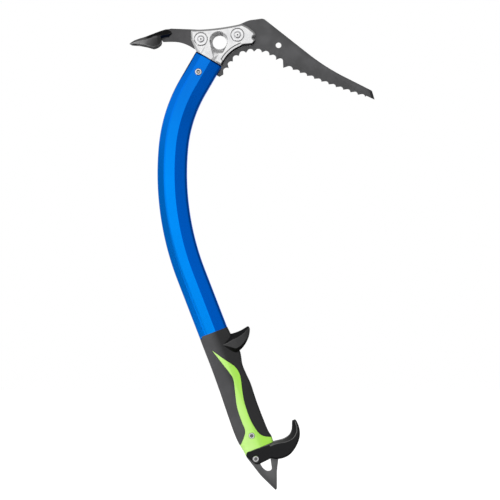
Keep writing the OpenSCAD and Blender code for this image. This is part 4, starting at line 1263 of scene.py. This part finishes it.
# %% Lamp
KEY_AT, KEY_SIZE, KEY_POWER = Vector((-1100, -1500, 500)), 900, 26
aim = (VIEW_CENTRE - KEY_AT).to_track_quat("-Z", "Y").to_euler()
bpy.ops.object.light_add(type="AREA", location=KEY_AT * MM, rotation=aim)
key = bpy.context.object
key.data.size = KEY_SIZE * MM
key.data.energy = KEY_POWER
key.visible_glossy = False
print("lamp of", KEY_POWER, "W and", KEY_SIZE, "mm")

# %% Cards
FACES_LEFT, FACES_RIGHT = (0, -pi / 2, 0), (0, pi / 2, 0)
CARDS = [
    ("card_front_upper", (900, -1575, 550), (1400, 850), FACES_LEFT, 0.52),
    ("card_front_lower", (900, -1575, -850), (1400, 850), FACES_LEFT, 0.4),
    ("card_upper_right", (900, -150, 500), (1400, 2000), FACES_LEFT, 0.22),
    ("card_lower_right", (900, -150, -900), (1400, 2000), FACES_LEFT, 0.24),
    ("card_upper_left", (-1300, -50, 1000), (1400, 2400), FACES_RIGHT, 0.82),
    ("card_middle_left", (-1300, -50, 150), (300, 2400), FACES_RIGHT, 0.66),
    ("card_lower_left", (-900, 0, -372), (745, 1730), FACES_RIGHT, 0.47),
    ("card_below", (400, 200, -720), (1800, 2200), (0, 0, 0), 0.04),
    ("card_above", (0, -400, 1000), (2600, 2000), (pi, 0, 0), 0.22),
    ("card_behind", (0, 900, 900), (2600, 1400), (pi / 2, 0, 0), 0.03)]
for name, place, size, turn, grey in CARDS:
    bpy.ops.mesh.primitive_plane_add(size=1, location=Vector(place) * MM, rotation=turn)
    card = bpy.context.object
    card.name = name
    card.scale = (size[0] * MM, size[1] * MM, 1)
    shade = bpy.data.materials.new(name)
    shade.use_nodes = True
    shader = shade.node_tree.nodes["Principled BSDF"]
    shader.inputs["Base Color"].default_value = (0, 0, 0, 1)
    shader.inputs["Specular IOR Level"].default_value = 0
    shader.inputs["Emission Color"].default_value = (grey, grey, grey, 1)
    shader.inputs["Emission Strength"].default_value = 1
    card.data.materials.append(shade)
    card.visible_camera = False
    card.visible_diffuse = False
    card.visible_shadow = False
print("cards that only reflections see:", len(CARDS))

# %% Floor
FLOOR_Z, FLOOR_SIZE, FLOOR_GLOW = -750, 12000, 0.6
bpy.ops.mesh.primitive_plane_add(size=FLOOR_SIZE * MM, location=(0, 0, FLOOR_Z * MM))
floor = bpy.context.object
floor.name = "pale_floor"
pale = bpy.data.materials.new("pale_floor")
pale.use_nodes = True
nodes, links = pale.node_tree.nodes, pale.node_tree.links
shader = nodes["Principled BSDF"]
shader.inputs["Base Color"].default_value = (0.9, 0.9, 0.9, 1)
shader.inputs["Roughness"].default_value = 0.9
shader.inputs["Emission Color"].default_value = (1, 1, 1, 1)
path = nodes.new("ShaderNodeLightPath")
glow = nodes.new("ShaderNodeMapRange")
glow.inputs["To Max"].default_value = FLOOR_GLOW
links.new(path.outputs["Is Camera Ray"], glow.inputs["Value"])
links.new(glow.outputs["Result"], shader.inputs["Emission Strength"])
floor.data.materials.append(pale)
bpy.context.scene.view_settings.view_transform = "Standard"
print("the floor lies at", FLOOR_Z, "mm")
